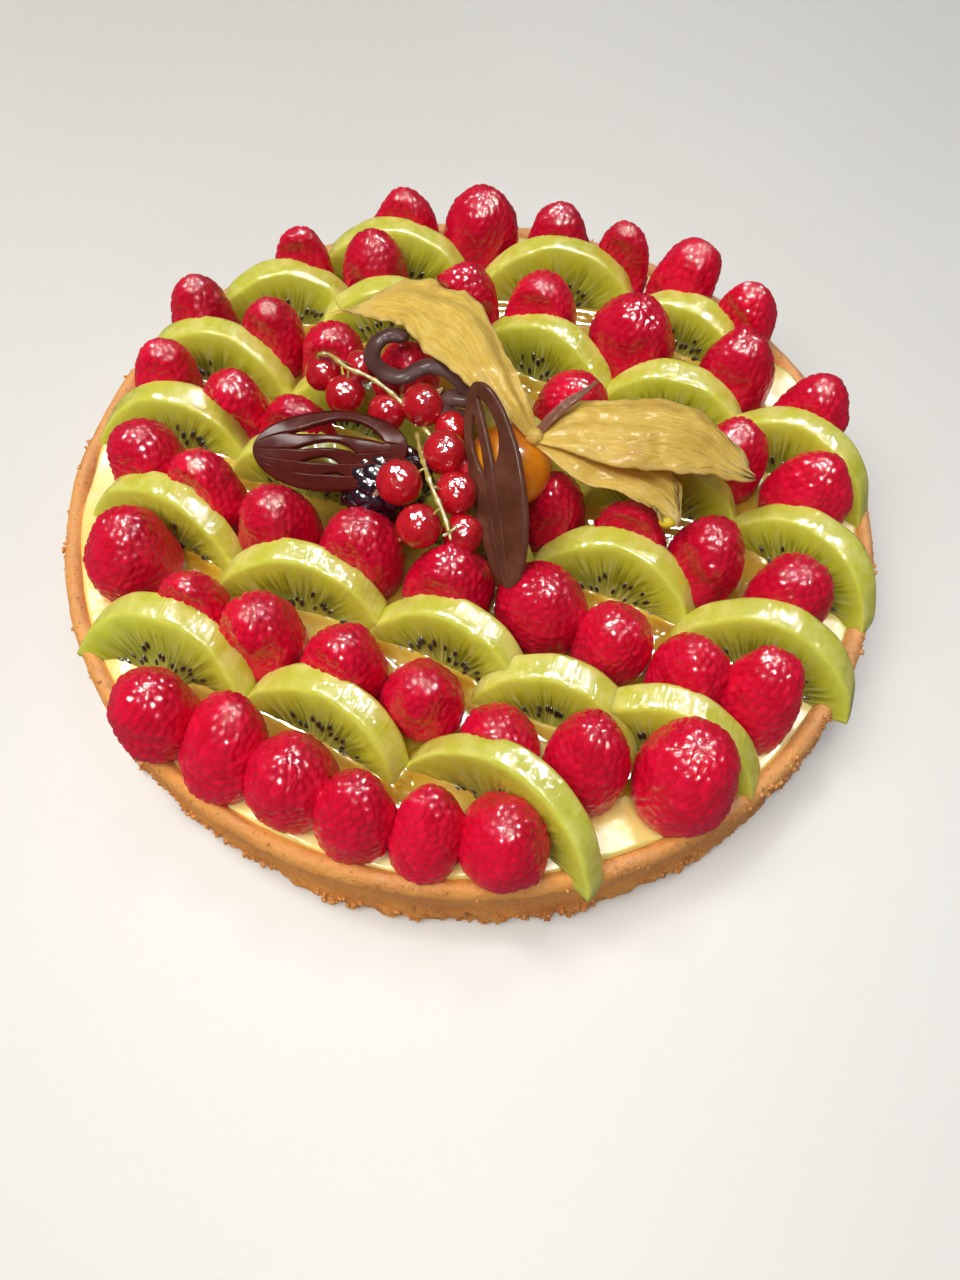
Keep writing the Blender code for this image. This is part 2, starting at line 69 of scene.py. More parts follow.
def drift(points, size, seed):
    """Smooth noise from -1 to 1 at the points.

    The corners of cubes of the given size hold random numbers, which are blended along each
    side by 3 t squared less 2 t cubed.
    """
    place = np.asarray(points) / size
    whole = np.floor(place).astype(np.int64)
    share = place - whole
    share = share * share * (3 - 2 * share)
    total = 0
    for dx in (0, 1):
        for dy in (0, 1):
            for dz in (0, 1):
                part = (share[..., 0] if dx else 1 - share[..., 0])
                part = part * (share[..., 1] if dy else 1 - share[..., 1])
                part = part * (share[..., 2] if dz else 1 - share[..., 2])
                i, j, k = whole[..., 0] + dx, whole[..., 1] + dy, whole[..., 2] + dz
                total = total + part * corner_value(i, j, k, seed)
    return 2 * total - 1


def layered(points, size, seed, layers=3):
    """Noise from about -1 to 1: each layer has half the size and half the strength of the last."""
    total = sum(drift(points, size / 2**n, seed + 7 * n) / 2**n for n in range(layers))
    return total / (2 - 2.0 ** (1 - layers))


def smooth(value, start, end):
    """0 below start, 1 above end, and 3 t squared less 2 t cubed between."""
    share = np.clip((value - start) / (end - start), 0, 1)
    return share * share * (3 - 2 * share)


def skin(rows, columns):
    """Triangles of a closed skin: rows rings of points, a first point before and a last after."""
    ring = np.arange(columns)
    after = (ring + 1) % columns
    start = np.arange(rows - 1)[:, None] * columns + 1
    a, b, c, d = start + ring, start + after, start + after + columns, start + ring + columns
    sides = np.stack([a, b, c, a, c, d], -1).reshape(-1, 3)
    end = 1 + (rows - 1) * columns
    first = np.stack([np.zeros_like(ring), after + 1, ring + 1], -1)
    last = np.stack([np.full_like(ring, rows * columns + 1), end + ring, end + after], -1)
    return np.concatenate([first, sides, last])


def closed(grid):
    """The points of a grid of rings with a point added at the middle of the first and last ring."""
    width = grid.shape[-1]
    first = grid[0].mean(0, keepdims=True)
    last = grid[-1].mean(0, keepdims=True)
    return np.concatenate([first, grid.reshape(-1, width), last])


def gathered(shapes):
    """Several (points, triangles, fields) shapes as one, the triangles' numbers moved along."""
    points, triangles, fields, count = [], [], {}, 0
    for its_points, its_triangles, its_fields in shapes:
        points.append(its_points)
        triangles.append(its_triangles + count)
        for field, values in its_fields.items():
            fields.setdefault(field, []).append(values)
        count += len(its_points)
    fields = {field: np.concatenate(values) for field, values in fields.items()}
    return np.concatenate(points), np.concatenate(triangles), fields


def piece(name, points, triangles, fields, material):
    """A smooth-shaded object, its triangles turned to face outward by the sign of its volume.

    Each field is a number, or three, kept for every point under its own name.
    """
    a, b, c = (points[triangles[:, n]] for n in range(3))
    if np.einsum("ij,ij", a, np.cross(b, c)) < 0:
        triangles = triangles[:, ::-1]
    mesh = bpy.data.meshes.new(name)
    mesh.vertices.add(len(points))
    mesh.vertices.foreach_set("co", np.ascontiguousarray(points, np.float32).ravel())
    mesh.loops.add(triangles.size)
    mesh.loops.foreach_set("vertex_index", np.ascontiguousarray(triangles, np.int32).ravel())
    mesh.polygons.add(len(triangles))
    mesh.polygons.foreach_set("loop_start", np.arange(0, triangles.size, 3, dtype=np.int32))
    mesh.polygons.foreach_set("use_smooth", np.ones(len(triangles), dtype=bool))
    for field, values in fields.items():
        kind, slot = ("FLOAT_VECTOR", "vector") if values.ndim == 2 else ("FLOAT", "value")
        kept = mesh.attributes.new(field, kind, "POINT")
        kept.data.foreach_set(slot, np.ascontiguousarray(values, np.float32).ravel())
    mesh.update()
    mesh.validate()
    mesh.materials.append(material)
    made = bpy.data.objects.new(name, mesh)
    bpy.context.scene.collection.objects.link(made)
    return made


class Look:
    """A Principled material, and the few kinds of node that the looks are put together from."""

    def __init__(self, name, **sockets):
        self.material = bpy.data.materials.new(name)
        self.material.use_nodes = True
        self.tree = self.material.node_tree
        self.shader = self.tree.nodes["Principled BSDF"]
        self.set(self.shader, {key.replace("_", " "): value for key, value in sockets.items()})

    def set(self, node, sockets):
        """Gives sockets a number, or a link from another node."""
        for key, value in sockets.items():
            if isinstance(value, bpy.types.NodeSocket):
                self.tree.links.new(value, node.inputs[key])
            else:
                node.inputs[key].default_value = value

    def add(self, kind, sockets=None, **settings):
        """A new node with its settings and sockets."""
        node = self.tree.nodes.new("ShaderNode" + kind)
        for key, value in settings.items():
            setattr(node, key, value)
        self.set(node, sockets or {})
        return node

    def field(self, name):
        """The number kept for each point under this name."""
        return self.add("Attribute", attribute_name=name).outputs["Fac"]

    def place(self):
        """Object coordinates."""
        return self.add("TexCoord").outputs["Object"]

    def noise(self, size, detail=3, place=None, rough=0.5):
        """Noise from 0 to 1 with spots of the given size."""
        sockets = {"Vector": place or self.place(), "Scale": 1 / size, "Detail": detail, "Roughness": rough}
        return self.add("TexNoise", sockets).outputs["Fac"]

    def math(self, way, *values):
        return self.add("Math", dict(enumerate(values)), operation=way).outputs[0]

    def step(self, value, low, high, start=0, end=1):
        """The value mapped from low..high to start..end, held at both ends."""
        sockets = {"Value": value, "From Min": low, "From Max": high, "To Min": start, "To Max": end}
        return self.add("MapRange", sockets, interpolation_type="SMOOTHSTEP").outputs[0]

    def ramp(self, value, *stops):
        """A colour read along stops of (position, (red, green, blue))."""
        node = self.add("ValToRGB", {"Fac": value})
        line = node.color_ramp.elements
        while len(line) < len(stops):
            line.new(0.5)
        for spot, (position, colour) in zip(line, stops):
            spot.position = position
            spot.color = (*colour, 1)
        return node.outputs["Color"]

    def mix(self, share, one, other, way="MIX"):
        """Two colours mixed by a share."""
        node = self.add("Mix", data_type="RGBA", blend_type=way)
        sides = [value if isinstance(value, bpy.types.NodeSocket) else (*value, 1) for value in (one, other)]
        self.set(node, {0: share, 6: sides[0], 7: sides[1]})
        return node.outputs[2]

    def bump(self, height, distance, strength=1.0, after=None):
        """A normal tilted as if the surface rose by the height times the distance."""
        sockets = {"Height": height, "Distance": distance, "Strength": strength}
        if after:
            sockets["Normal"] = after
        return self.add("Bump", sockets).outputs["Normal"]

    def finish(self, **sockets):
        self.set(self.shader, {key.replace("_", " "): value for key, value in sockets.items()})
        return self.material


case_low, case_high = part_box("pastry_case")
CASE_RADIUS = (case_high.x - case_low.x) / 2
CASE_HEIGHT = case_high.z
CASE_WALL = 4.6 * MM
CASE_COLUMNS = 840

# The wall's outline in radius and height, in millimetres, from under the cream over the rim and
# down to the underside, and how strongly each part is roughened.
CASE_OUTLINE = np.array([
    (60, 4.2, 0), (90, 4.2, 0), (94.4, 5.5, 0), (95.2, 9, 0.2), (95.3, 13, 0.5), (95.2, 16, 0.7),
    (95.4, 18.2, 0.6), (96.1, 19.9, 0.4), (97.2, 20.8, 0.3), (98.3, 20.7, 0.3), (99.3, 19.9, 0.35),
    (99.9, 18.4, 0.5), (99.7, 15.5, 0.6), (99.4, 12, 0.7), (99.3, 8.5, 0.8), (99.5, 5.5, 0.9),
    (99.9, 3.2, 1), (99.8, 1.3, 1), (98.6, 0.2, 0.8), (95, 0.05, 0.2), (60, 0.05, 0),
]) * (MM, MM, 1)


def along(line, count, start=0.0):
    """Points spread evenly along a line, by its own length beyond the share start."""
    run = np.r_[0, np.cumsum(np.linalg.norm(np.diff(line[:, :2], axis=0), axis=1))]
    spots = np.linspace(start, run[-1], count)
    return np.stack([np.interp(spots, run, line[:, n]) for n in range(line.shape[1])], -1)


def pastry_wall():
    """The outline turned round the axis, then pushed outward by noise.

    Radius = outline + rough (waves of 20 mm and grains of 3 mm) + crumbs, where the crumbs are the
    upper part of a spiky noise, near the foot only and more of it on some sides. Height = outline
    + waves along the rim.
    """
    middle = along(CASE_OUTLINE[3:-2], 58)
    outline = np.concatenate([CASE_OUTLINE[:3], middle, CASE_OUTLINE[-2:]])
    radius, height, rough = (outline[:, n][:, None] for n in range(3))
    turn = np.arange(CASE_COLUMNS) * math.tau / CASE_COLUMNS
    c, s = np.cos(turn)[None], np.sin(turn)[None]
    flat = np.stack([radius * c, radius * s, height + 0 * c], -1)
    waves = drift(flat * (1, 1, 0.6), 22 * MM, 3) * 0.55 * MM
    grains = layered(flat, 3.2 * MM, 11, 3) * 0.42 * MM
    outer = smooth(radius, 97 * MM, 99 * MM)
    foot = outer * smooth(height, 9 * MM, 1.5 * MM)
    side = 0.55 + 0.45 * drift(np.stack([c, s, 0 * c], -1), 0.55, 21)
    crumbs = np.clip(layered(flat * (1, 1, 1.2), 2.6 * MM, 31, 2) + 0.25, 0, 1)
    crumbs = crumbs * foot * side * 2.2 * MM
    pits = smooth(layered(flat, 2.4 * MM, 47, 2), 0.42, 0.62) * rough
    radius = radius + rough * (waves + grains) * np.where(outer > 0, 1, -1) + crumbs - pits * outer * 0.6 * MM
    rim = smooth(height, 12 * MM, 20 * MM)
    lift = rim * (drift(np.stack([c * 0.1, s * 0.1, 0 * c], -1), 17 * MM, 5) * 0.7 - 0.35) * MM
    lift = lift + rim * rough * grains * 0.8
    points = np.stack([radius * c, radius * s, np.maximum(height + lift, 0)], -1)
    spots = np.stack([rim + 0 * c, pits, crumbs / MM], -1)
    points, spots = closed(points), closed(spots)
    return points, skin(len(outline), CASE_COLUMNS), {"rim": spots[:, 0], "pit": spots[:, 1], "crumb": spots[:, 2]}


crust = Look("baked_pastry", Roughness=0.72, Specular_IOR_Level=0.35)
patches = crust.noise(16 * MM, 3)
grain = crust.noise(1.1 * MM, 5, rough=0.65)
colour = crust.ramp(patches, (0.30, (0.56, 0.150, 0.012)), (0.52, (0.74, 0.25, 0.024)), (0.72, (0.84, 0.34, 0.042)))
# Painted light: the top of the wall, where the rim field is high, is mixed toward a lighter gold.
colour = crust.mix(crust.step(crust.field("rim"), 0.75, 1.0, 0, 0.55), colour, (0.84, 0.38, 0.07))
colour = crust.mix(crust.step(grain, 0.35, 0.75, 0, 0.5), colour, (0.80, 0.42, 0.13))
colour = crust.mix(crust.step(crust.field("crumb"), 0.1, 1.2, 0, 0.55), colour, (0.74, 0.37, 0.10))
specks = crust.step(crust.noise(0.9 * MM, 2), 0.64, 0.72, 0, 0.75)
colour = crust.mix(specks, colour, (0.26, 0.075, 0.014))
# Painted shade: the pits are darkened, as shade that falls in them.
colour = crust.mix(crust.step(crust.field("pit"), 0.1, 0.9, 0, 0.7), colour, (0.22, 0.06, 0.012))
normal = crust.bump(grain, 0.6 * MM, 0.9, after=crust.bump(crust.noise(3 * MM, 4), 0.8 * MM, 0.6))
crust_look = crust.finish(
    Base_Color=colour, Normal=normal, Subsurface_Weight=0.1, Subsurface_Scale=1 * MM,
    Subsurface_Radius=(1.0, 0.5, 0.2), Roughness=crust.step(patches, 0.3, 0.7, 0.62, 0.8),
)
pastry = piece("crust", *pastry_wall(), crust_look)
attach(pastry, "root")
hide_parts("pastry_case")


# ---- Crumbs on the crust -------------------------------------------------------------------
# Grains of the same pastry, half broken away, that still cling to the foot of the wall and to the
# outer edge of the rim, thickest where the ring was pulled off.

CRUMBS = 2600


def crumbs():
    """Grains on points of the wall, picked by chance, more of them where a noise is high.

    A grain is a ball of 3 rings of 6, each point moved in or out by up to a third.
    """
    random = np.random.default_rng(7)
    wall = np.empty(len(pastry.data.vertices) * 3)
    pastry.data.vertices.foreach_get("co", wall)
    wall = wall.reshape(-1, 3)
    radius, turn = np.hypot(wall[:, 0], wall[:, 1]), np.arctan2(wall[:, 1], wall[:, 0])
    foot = smooth(wall[:, 2], 6.5 * MM, 1 * MM) + 0.05 * (wall[:, 2] > 17 * MM)
    side = 0.35 + smooth(np.abs(turn + 0.9), 0.75, 0.2) + 0.8 * smooth(np.abs(np.abs(turn) - 2.9), 0.5, 0.1)
    chance = foot * side * smooth(drift(wall, 9 * MM, 203), -0.3, 0.5) * (radius > 98.3 * MM)
    chosen = random.choice(len(wall), CRUMBS, replace=False, p=chance / chance.sum())
    rise = np.linspace(-math.pi / 2, math.pi / 2, 5)[1:-1, None]
    around = np.arange(6)[None] * math.tau / 6
    ball = np.stack([np.cos(rise) * np.cos(around), np.cos(rise) * np.sin(around), np.sin(rise) + 0 * around], -1)
    ball = closed(ball)
    ball[0], ball[-1] = (0, 0, -1), (0, 0, 1)
    size = (0.20 + 0.60 * random.random(CRUMBS) ** 3) * MM
    grain = ball[None] * (1 + random.uniform(-0.33, 0.33, (CRUMBS, len(ball), 1)))
    grain = grain * size[:, None, None] * random.uniform(0.6, 1.3, (CRUMBS, 1, 3))
    outward = wall[chosen] * (1, 1, 0) / radius[chosen][:, None]
    grain = grain + (wall[chosen] + outward * (size * 0.35)[:, None])[:, None]
    grain[..., 2] = np.maximum(grain[..., 2], 0)
    triangles = skin(3, 6)[None] + (np.arange(CRUMBS) * len(ball))[:, None, None]
    # Each crumb gets a random share of the lighter gold that is painted light on the wall's top, as random tone.
    spots = np.repeat(random.random(CRUMBS), len(ball))
    return grain.reshape(-1, 3), triangles.reshape(-1, 3), {"rim": spots, "pit": 0 * spots, "crumb": 1.5 * spots}


made = piece("crust_crumbs", *crumbs(), crust_look)
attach(made, "root")


# ---- Where the berries and slices stand -------------------------------------------------
# The raspberries stand on their open ends and the kiwi slices on their cut edges. Their places,
# widths, heights and leans are read from the corners of the CAD nodes, which are all that is fixed.

BERRY_WIDEST = 0.28      # height of the widest ring, as a share of the berry's height
SLICE_CUT = 0.2          # the cut edge lies this far above the disc's middle, in radii
SLICE_THICKNESS = 6.4 * MM
SLICE_COUNT = 26
bed = min((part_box(node)[0].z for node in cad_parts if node.startswith("raspberr")))


def corners(node):
    """Every different corner of a CAD node."""
    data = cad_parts[node].data
    places = np.empty(len(data.vertices) * 3)
    data.vertices.foreach_get("co", places)
    return np.unique(np.round(places.reshape(-1, 3), 7), axis=0)


def tops(points, reach):
    """The points that none within reach, measured level, stands higher than."""
    level = np.linalg.norm(points[:, None, :2] - points[None, :, :2], axis=2) < reach
    higher = points[None, :, 2] > points[:, None, 2] + 0.02 * MM
    return points[~(level & higher).any(1)]


def berries_in(node):
    """Foot, lean, width and height of each raspberry in a node.

    The tip is a top; the widest ring's middle and width come from the circle that fits its
    corners best, where x squared + y squared = 2 a x + 2 b y + rest.
    """
    points = corners(node)
    tips = tops(points, 6 * MM)
    tips = tips[tips[:, 2] > bed + 12 * MM]
    nearest = np.linalg.norm(points[:, None, :2] - tips[None, :, :2], axis=2).argmin(1)
    found = []
    for number, tip in enumerate(tips):
        height = tip[2] - bed
        own = points[nearest == number]
        ring = own[np.abs(own[:, 2] - bed - BERRY_WIDEST * height) < 0.02 * MM][:, :2]
        terms = np.c_[2 * ring, np.ones(len(ring))]
        (a, b, rest), *_ = np.linalg.lstsq(terms, (ring**2).sum(1), rcond=None)
        middle = np.array([a, b])
        lean = (tip[:2] - middle) / (1 - BERRY_WIDEST)
        foot = tip[:2] - lean
        found.append((foot, lean, 2 * math.sqrt(rest + a * a + b * b), height))
    return found


def slices_in(node):
    """Foot, direction, lean, radius and bow of each kiwi slice in a node.

    Each slice has a front and a back top of the same height. The step between them is level, and
    its length is the thickness over the cosine of the lean. The bow is how far the foot's corners
    at 0.633 of the radius lie in front of the middle, over 0.633 squared.
    """
    points = corners(node)
    low = points[np.abs(points[:, 2] - bed) < 0.05 * MM]
    peaks = tops(points, 9 * MM)
    found = []
    for front in peaks:
        steps = peaks - front
        match = (np.abs(steps[:, 2]) < 0.02 * MM) & (steps[:, 1] > 0)
        match &= np.linalg.norm(steps[:, :2], axis=1) < 8 * MM
        if match.any():
            rear = peaks[match][0]
            step = rear[:2] - front[:2]
            back = step / np.linalg.norm(step)
            lean = math.acos(min(1, SLICE_THICKNESS / np.linalg.norm(step)))
            height = front[2] - bed
            radius = height / (1 - SLICE_CUT) / math.cos(lean)
            foot = (front[:2] + rear[:2]) / 2 - back * math.tan(lean) * height
            across = np.abs((low[:, :2] - foot) @ (back[1], -back[0])) / radius
            behind = ((low[:, :2] - foot) @ back)[np.abs(across - 0.633) < 0.012]
            bows = -(behind[:, None] + np.array([-0.5, 0.5]) * np.linalg.norm(step)) / 0.401
            bows = bows[(bows > 0.5 * MM) & (bows < 6 * MM)]
            bow = np.median(bows) if len(bows) else 1.5 * MM
            found.append((foot, back, lean, radius, bow))
    return sorted(found, key=lambda slice_: slice_[0][0])


def slice_place(slice_, points):
    """How far out from the disc's middle, in radii, and how deep, from -0.5 to 0.5, points are."""
    foot, back, lean, radius, bow = slice_
    level = points[..., :2] - foot
    up = (points[..., 2] - bed) / math.cos(lean) / radius
    across = level @ np.array((back[1], -back[0])) / radius
    behind = level @ back - up * radius * math.sin(lean) + bow * across**2
    out = np.hypot(across, up + SLICE_CUT)
    return out, behind * math.cos(lean) / SLICE_THICKNESS


berry_rows = {}
for node in sorted(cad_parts):
    if node.startswith("raspberr"):
        row = node.split("_")[1][0]
        berry_rows.setdefault(row, ([], []))
        found = berries_in(node)
        if len(found) != node.count("_"):       # a node is named for every berry in it
            raise ValueError(f"{len(found)} berries read from {node}")
        berry_rows[row][0].append(node)
        berry_rows[row][1].extend(found)
slice_runs = {node[-1]: slices_in(node) for node in sorted(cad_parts) if node.startswith("kiwi")}
if sum(len(slices) for slices in slice_runs.values()) != SLICE_COUNT:
    raise ValueError("some of the kiwi slices couldn't be read")


# ---- Pastry cream ------------------------------------------------------------------------
# Set vanilla cream, spread with a palette knife and pressed up against the rim by the fruit. It
# is dry and matt by the rim, where the glaze doesn't reach.

cream_low, cream_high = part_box("pastry_cream")
CREAM_RADIUS = 95.6 * MM
CREAM_TOP = cream_high.z
# Places where cream is squeezed up: x, y, reach and rise in millimetres.
CREAM_DOLLOPS = np.array([
    (-76, -52, 9, 2.2), (-35, -88, 8, 2.6), (-22, -92, 7, 2.0), (34, -85, 9, 3.0), (27, -88, 6, 1.5),
    (84, 45, 8, 2.0), (-89, -18, 8, 2.0), (-87, 22, 8, 1.5), (62, 70, 8, 1.4), (-44, 84, 8, 1.5),
    (3, -93, 6, 1.2), (88, -30, 6, 1.6), (-52, -76, 6, 1.0),
]) * MM


def cream_height(x, y):
    """Waves of 15 mm and 5 mm, a rise to the rim, and a bell of its own for every dollop."""
    flat = np.stack([x, y, 0 * x], -1)
    radius = np.hypot(x, y)
    rise = drift(flat, 15 * MM, 61) * 0.35 + drift(flat, 5 * MM, 62) * 0.16
    edge = smooth(radius, 84 * MM, 94 * MM)
    rise = (rise + edge * (0.9 + 0.9 * drift(flat, 11 * MM, 63))) * MM
    for dollop_x, dollop_y, reach, height in CREAM_DOLLOPS:
        away = np.hypot(x - dollop_x, y - dollop_y) / reach
        rise = rise + height * np.exp(-(away**2) * 2.2)
    return np.minimum(CREAM_TOP + rise, CASE_HEIGHT - 0.2 * MM)


def disc(rings, columns, radius, height_of, floor):
    """A round layer: a grid of rings whose tops follow height_of, closed by a flat floor."""
    out = np.linspace(0.01, 1, rings)[:, None] ** 0.85 * radius
    turn = np.arange(columns)[None] * math.tau / columns
    x, y = out * np.cos(turn), out * np.sin(turn)
    top = np.stack([x, y, height_of(x, y)], -1)
    under = np.stack([x[[-1]] * 0.999, y[[-1]] * 0.999, np.full_like(x[[-1]], floor)], -1)
    return closed(np.concatenate([top, under])), skin(rings + 1, columns)


custard = Look("pastry_cream", Roughness=0.38)
shade = custard.noise(9 * MM, 3)
colour = custard.ramp(shade, (0.3, (0.88, 0.70, 0.19)), (0.6, (0.94, 0.80, 0.28)), (0.8, (0.96, 0.86, 0.38)))
normal = custard.bump(custard.noise(2.2 * MM, 4), 0.5 * MM, 0.5)
cream_look = custard.finish(
    Base_Color=colour, Normal=normal, Subsurface_Weight=0.5, Subsurface_Scale=3 * MM,
    Subsurface_Radius=(1.0, 0.7, 0.3), Coat_Weight=0.15, Coat_Roughness=0.25,
    Roughness=custard.step(shade, 0.3, 0.7, 0.32, 0.45),
)
points, triangles = disc(110, 400, CREAM_RADIUS, cream_height, 8 * MM)
cream = piece("cream", points, triangles, {}, cream_look)
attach(cream, "root")
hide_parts("pastry_cream")


# ---- Raspberries --------------------------------------------------------------------------
# Whole fresh raspberries with their open ends down, each a little different, under a coat of
# glaze that fills the joints between the drupelets and makes many small wet lights.

BERRY_COLUMNS = 96
BERRY_ROWS = 50
DRUPELET = 2.35 * MM
FOOT_ROW = 4             # the ring of points that the glaze climbs from
berry_feet = []


def berry_outline(share, blunt):
    """Half width over the width at a share of the height.

    Above the widest ring it is half the root of 1 - t to the power blunt, where t runs from the
    ring to the tip; below it, half of 1 - 0.16 t squared.
    """
    up = np.clip((share - BERRY_WIDEST) / (1 - BERRY_WIDEST), 0, 1)
    down = np.clip((BERRY_WIDEST - share) / BERRY_WIDEST, 0, 1)
    return 0.5 * np.where(share > BERRY_WIDEST, np.sqrt(1 - up**blunt), 1 - 0.16 * down**2)


def pressed(points, middle):
    """The points moved back into every slice from beyond it, on the side where the berry stands.

    With d the shortfall of a point's depth from 0.3, it is moved by half of d plus the root of
    d squared and 0.15 squared, so the dent has no crease. The move fades from 1.1 to 1.42 radii,
    so that a berry stands behind the slice's rim and not over it.
    """
    for slices in slice_runs.values():
        for slice_ in slices:
            if np.linalg.norm(slice_[0] - middle[:2]) > 42 * MM:
                continue
            out, depth = slice_place(slice_, points)
            side = 1 if slice_place(slice_, middle)[1] > 0 else -1
            gap = 0.3 - depth * side
            short = (gap + np.sqrt(gap**2 + 0.15**2)) / 2 * smooth(out, 1.42, 1.1)
            move = slice_[1] * side * SLICE_THICKNESS / math.cos(slice_[2])
            points[..., :2] += short[..., None] * move
    return points


def berry(foot, lean, width, height, number):
    """One raspberry: its outline turned, leant, dented, and covered with drupelets.

    Drupelets sit in staggered rings. Every point is raised by a dome of its nearness: with s the
    gap to the second nearest drupelet less that to the nearest, over their spacing, the rise is
    1 - (1 - s) cubed, so their tops are flat under the glaze, and the joints are where s is small.
    """
    random = np.random.default_rng(1000 + number)
    blunt = random.uniform(1.75, 2.5)
    rise = 1 - (1 - np.linspace(0, 1, 400)) ** 1.6
    line = np.stack([berry_outline(rise, blunt) * width, rise * height], -1)
    run = np.r_[0, np.cumsum(np.linalg.norm(np.diff(line, axis=0), axis=1))]

    def body(turn, length):
        """Places on the plain body at a turn and a length along the outline."""
        radius = np.interp(length, run, line[:, 0])
        level = np.interp(length, run, line[:, 1])
        squash = 1 + oval * np.cos(2 * (turn - oval_turn))
        return np.stack([radius * squash * np.cos(turn), radius * squash * np.sin(turn), level], -1)

    oval, oval_turn = random.uniform(0, 0.045), random.uniform(0, math.tau)
    seeds = []
    rings = int(round(run[-1] / (DRUPELET * 0.86)))
    for ring in range(rings + 1):
        length = min(run[-1] * (ring + 0.3) / rings, run[-1])
        around = max(1, int(round(math.tau * np.interp(length, run, line[:, 0]) / DRUPELET)))
        turn = (np.arange(around) + 0.5 * (ring % 2)) * math.tau / around + random.uniform(-0.15, 0.15)
        turn = turn + random.uniform(-0.14, 0.14, around) * math.tau / around
        stray = random.uniform(-0.16, 0.16, around) * DRUPELET
        seeds.append(body(turn, np.clip(length + stray, 0, run[-1])))
    seeds = np.concatenate(seeds)
    tint = random.random(len(seeds))

    turn = np.arange(BERRY_COLUMNS)[None] * math.tau / BERRY_COLUMNS
    length = np.linspace(0, run[-1] * 0.997, BERRY_ROWS)[:, None]
    points = body(turn, length + 0 * turn)
    flat = points.reshape(-1, 3)
    apart = np.sqrt(((flat[:, None] - seeds[None]) ** 2).sum(2))
    order = np.argpartition(apart, 1, axis=1)[:, :2]
    near, next_ = (np.take_along_axis(apart, order[:, [n]], 1)[:, 0] for n in range(2))
    own = np.where(near < next_, order[:, 0], order[:, 1])
    near, next_ = np.minimum(near, next_), np.maximum(near, next_)
    share = np.clip((next_ - near) / (0.72 * DRUPELET), 0, 1)
    dome = 1 - (1 - share) ** 3
    lumps = drift(flat + number * 0.05, 6.5 * MM, 81) * 0.75 + drift(flat + number * 0.05, 3.2 * MM, 82) * 0.25
    level = np.clip(points[..., 2] / height, 0, 1)
    points[..., :2] += lean * level[..., None]
    points += (foot[0], foot[1], bed)
    points = pressed(points, np.array([foot[0], foot[1], bed + 0.3 * height]))
    berry_feet.append(points[FOOT_ROW, ::2])
    around = np.roll(points, -1, 1) - np.roll(points, 1, 1)
    normal = np.cross(around, np.gradient(points, axis=0))
    normal /= np.linalg.norm(normal, axis=2, keepdims=True) + 1e-12
    swell = (tint[own] - 0.5) * 0.2
    rise = (0.54 * dome - 0.36 + swell + lumps) * MM
    flat = points.reshape(-1, 3) + normal.reshape(-1, 3) * rise[:, None]
    flat[:, 2] = np.maximum(flat[:, 2], bed - 0.5 * MM)
    level = level.ravel()
    spots = np.stack([share, tint[own], level, np.full(len(share), random.random())], -1)
    grid = np.concatenate([flat, spots], 1).reshape(BERRY_ROWS, BERRY_COLUMNS, 7)
    made = closed(grid)
    fields = {"joint": made[:, 3], "tint": made[:, 4], "level": made[:, 5], "berry": made[:, 6]}
    return made[:, :3], skin(BERRY_ROWS, BERRY_COLUMNS), fields


flesh = Look("raspberry", Roughness=0.3)
tint = flesh.mix(flesh.field("tint"), (0.66, 0.002, 0.026), (0.84, 0.006, 0.050))
tint = flesh.mix(flesh.step(flesh.field("berry"), 0, 1, 0, 0.5), tint, (0.46, 0.002, 0.022))
bloom = flesh.step(flesh.noise(6 * MM, 3), 0.45, 0.75, 0, 0.35)
tint = flesh.mix(bloom, tint, (0.72, 0.014, 0.07))
# Painted sheen: the lower sides of each berry are mixed toward a paler magenta.
low_side_sheen = flesh.step(flesh.field("level"), 0.55, 0.05, 0, 0.35)
tint = flesh.mix(low_side_sheen, tint, (0.60, 0.012, 0.08))
joint = flesh.step(flesh.field("joint"), 0.02, 0.24, 0.25, 0)
tint = flesh.mix(joint, tint, (0.36, 0.001, 0.010))
wet = flesh.bump(flesh.noise(1.4 * MM, 2), 0.45 * MM, 0.9)
berry_look = flesh.finish(
    Base_Color=tint, Subsurface_Weight=0.45, Subsurface_Scale=2 * MM, Subsurface_Radius=(1.0, 0.06, 0.1),
    Specular_IOR_Level=0.03, Coat_Weight=0.9, Coat_Roughness=0.025, Coat_Normal=wet, Normal=flesh.bump(flesh.noise(0.7 * MM, 2), 0.12 * MM, 0.4),
    Roughness=flesh.step(flesh.noise(4 * MM, 2), 0.3, 0.7, 0.25, 0.45),
)
count = 0
for row, (nodes, berries) in sorted(berry_rows.items()):
    shapes = []
    for foot, lean, width, height in berries:
        shapes.append(berry(foot, lean, width, height, count))
        count += 1
    fruit = piece(f"raspberries_row_{row}", *gathered(shapes), berry_look)
    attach(fruit, "root")
    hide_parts(*nodes)


# ---- Kiwi slices --------------------------------------------------------------------------
# Peeled kiwi, cut across and then in half. Each slice leans back on the row behind it: a pale,
# knife-peeled band over an olive face with light rays and, lower down, the ring of seed pockets.

SLICE_TURNS = 92
FACE_STEPS = 13
CORNER_STEPS = 4
BAND_STEPS = 6


def slice_loop():
    """The way round a slice's section, as (share of the face from cut to rim, depth -0.5 to 0.5)."""
    face = np.linspace(0, 1, FACE_STEPS)[:-1] * 0.955
    turn = np.linspace(0, math.pi / 2, CORNER_STEPS)
    corner = np.stack([0.955 + 0.045 * np.sin(turn), -0.5 + 0.16 * (1 - np.cos(turn))], -1)
    band = np.stack([np.full(BAND_STEPS, 1.0), np.linspace(-0.34, 0.34, BAND_STEPS)], -1)[1:-1]
    front = np.stack([face, np.full_like(face, -0.5)], -1)
    half = np.concatenate([front, corner])
    return np.concatenate([half, band, half[::-1] * (1, -1)])


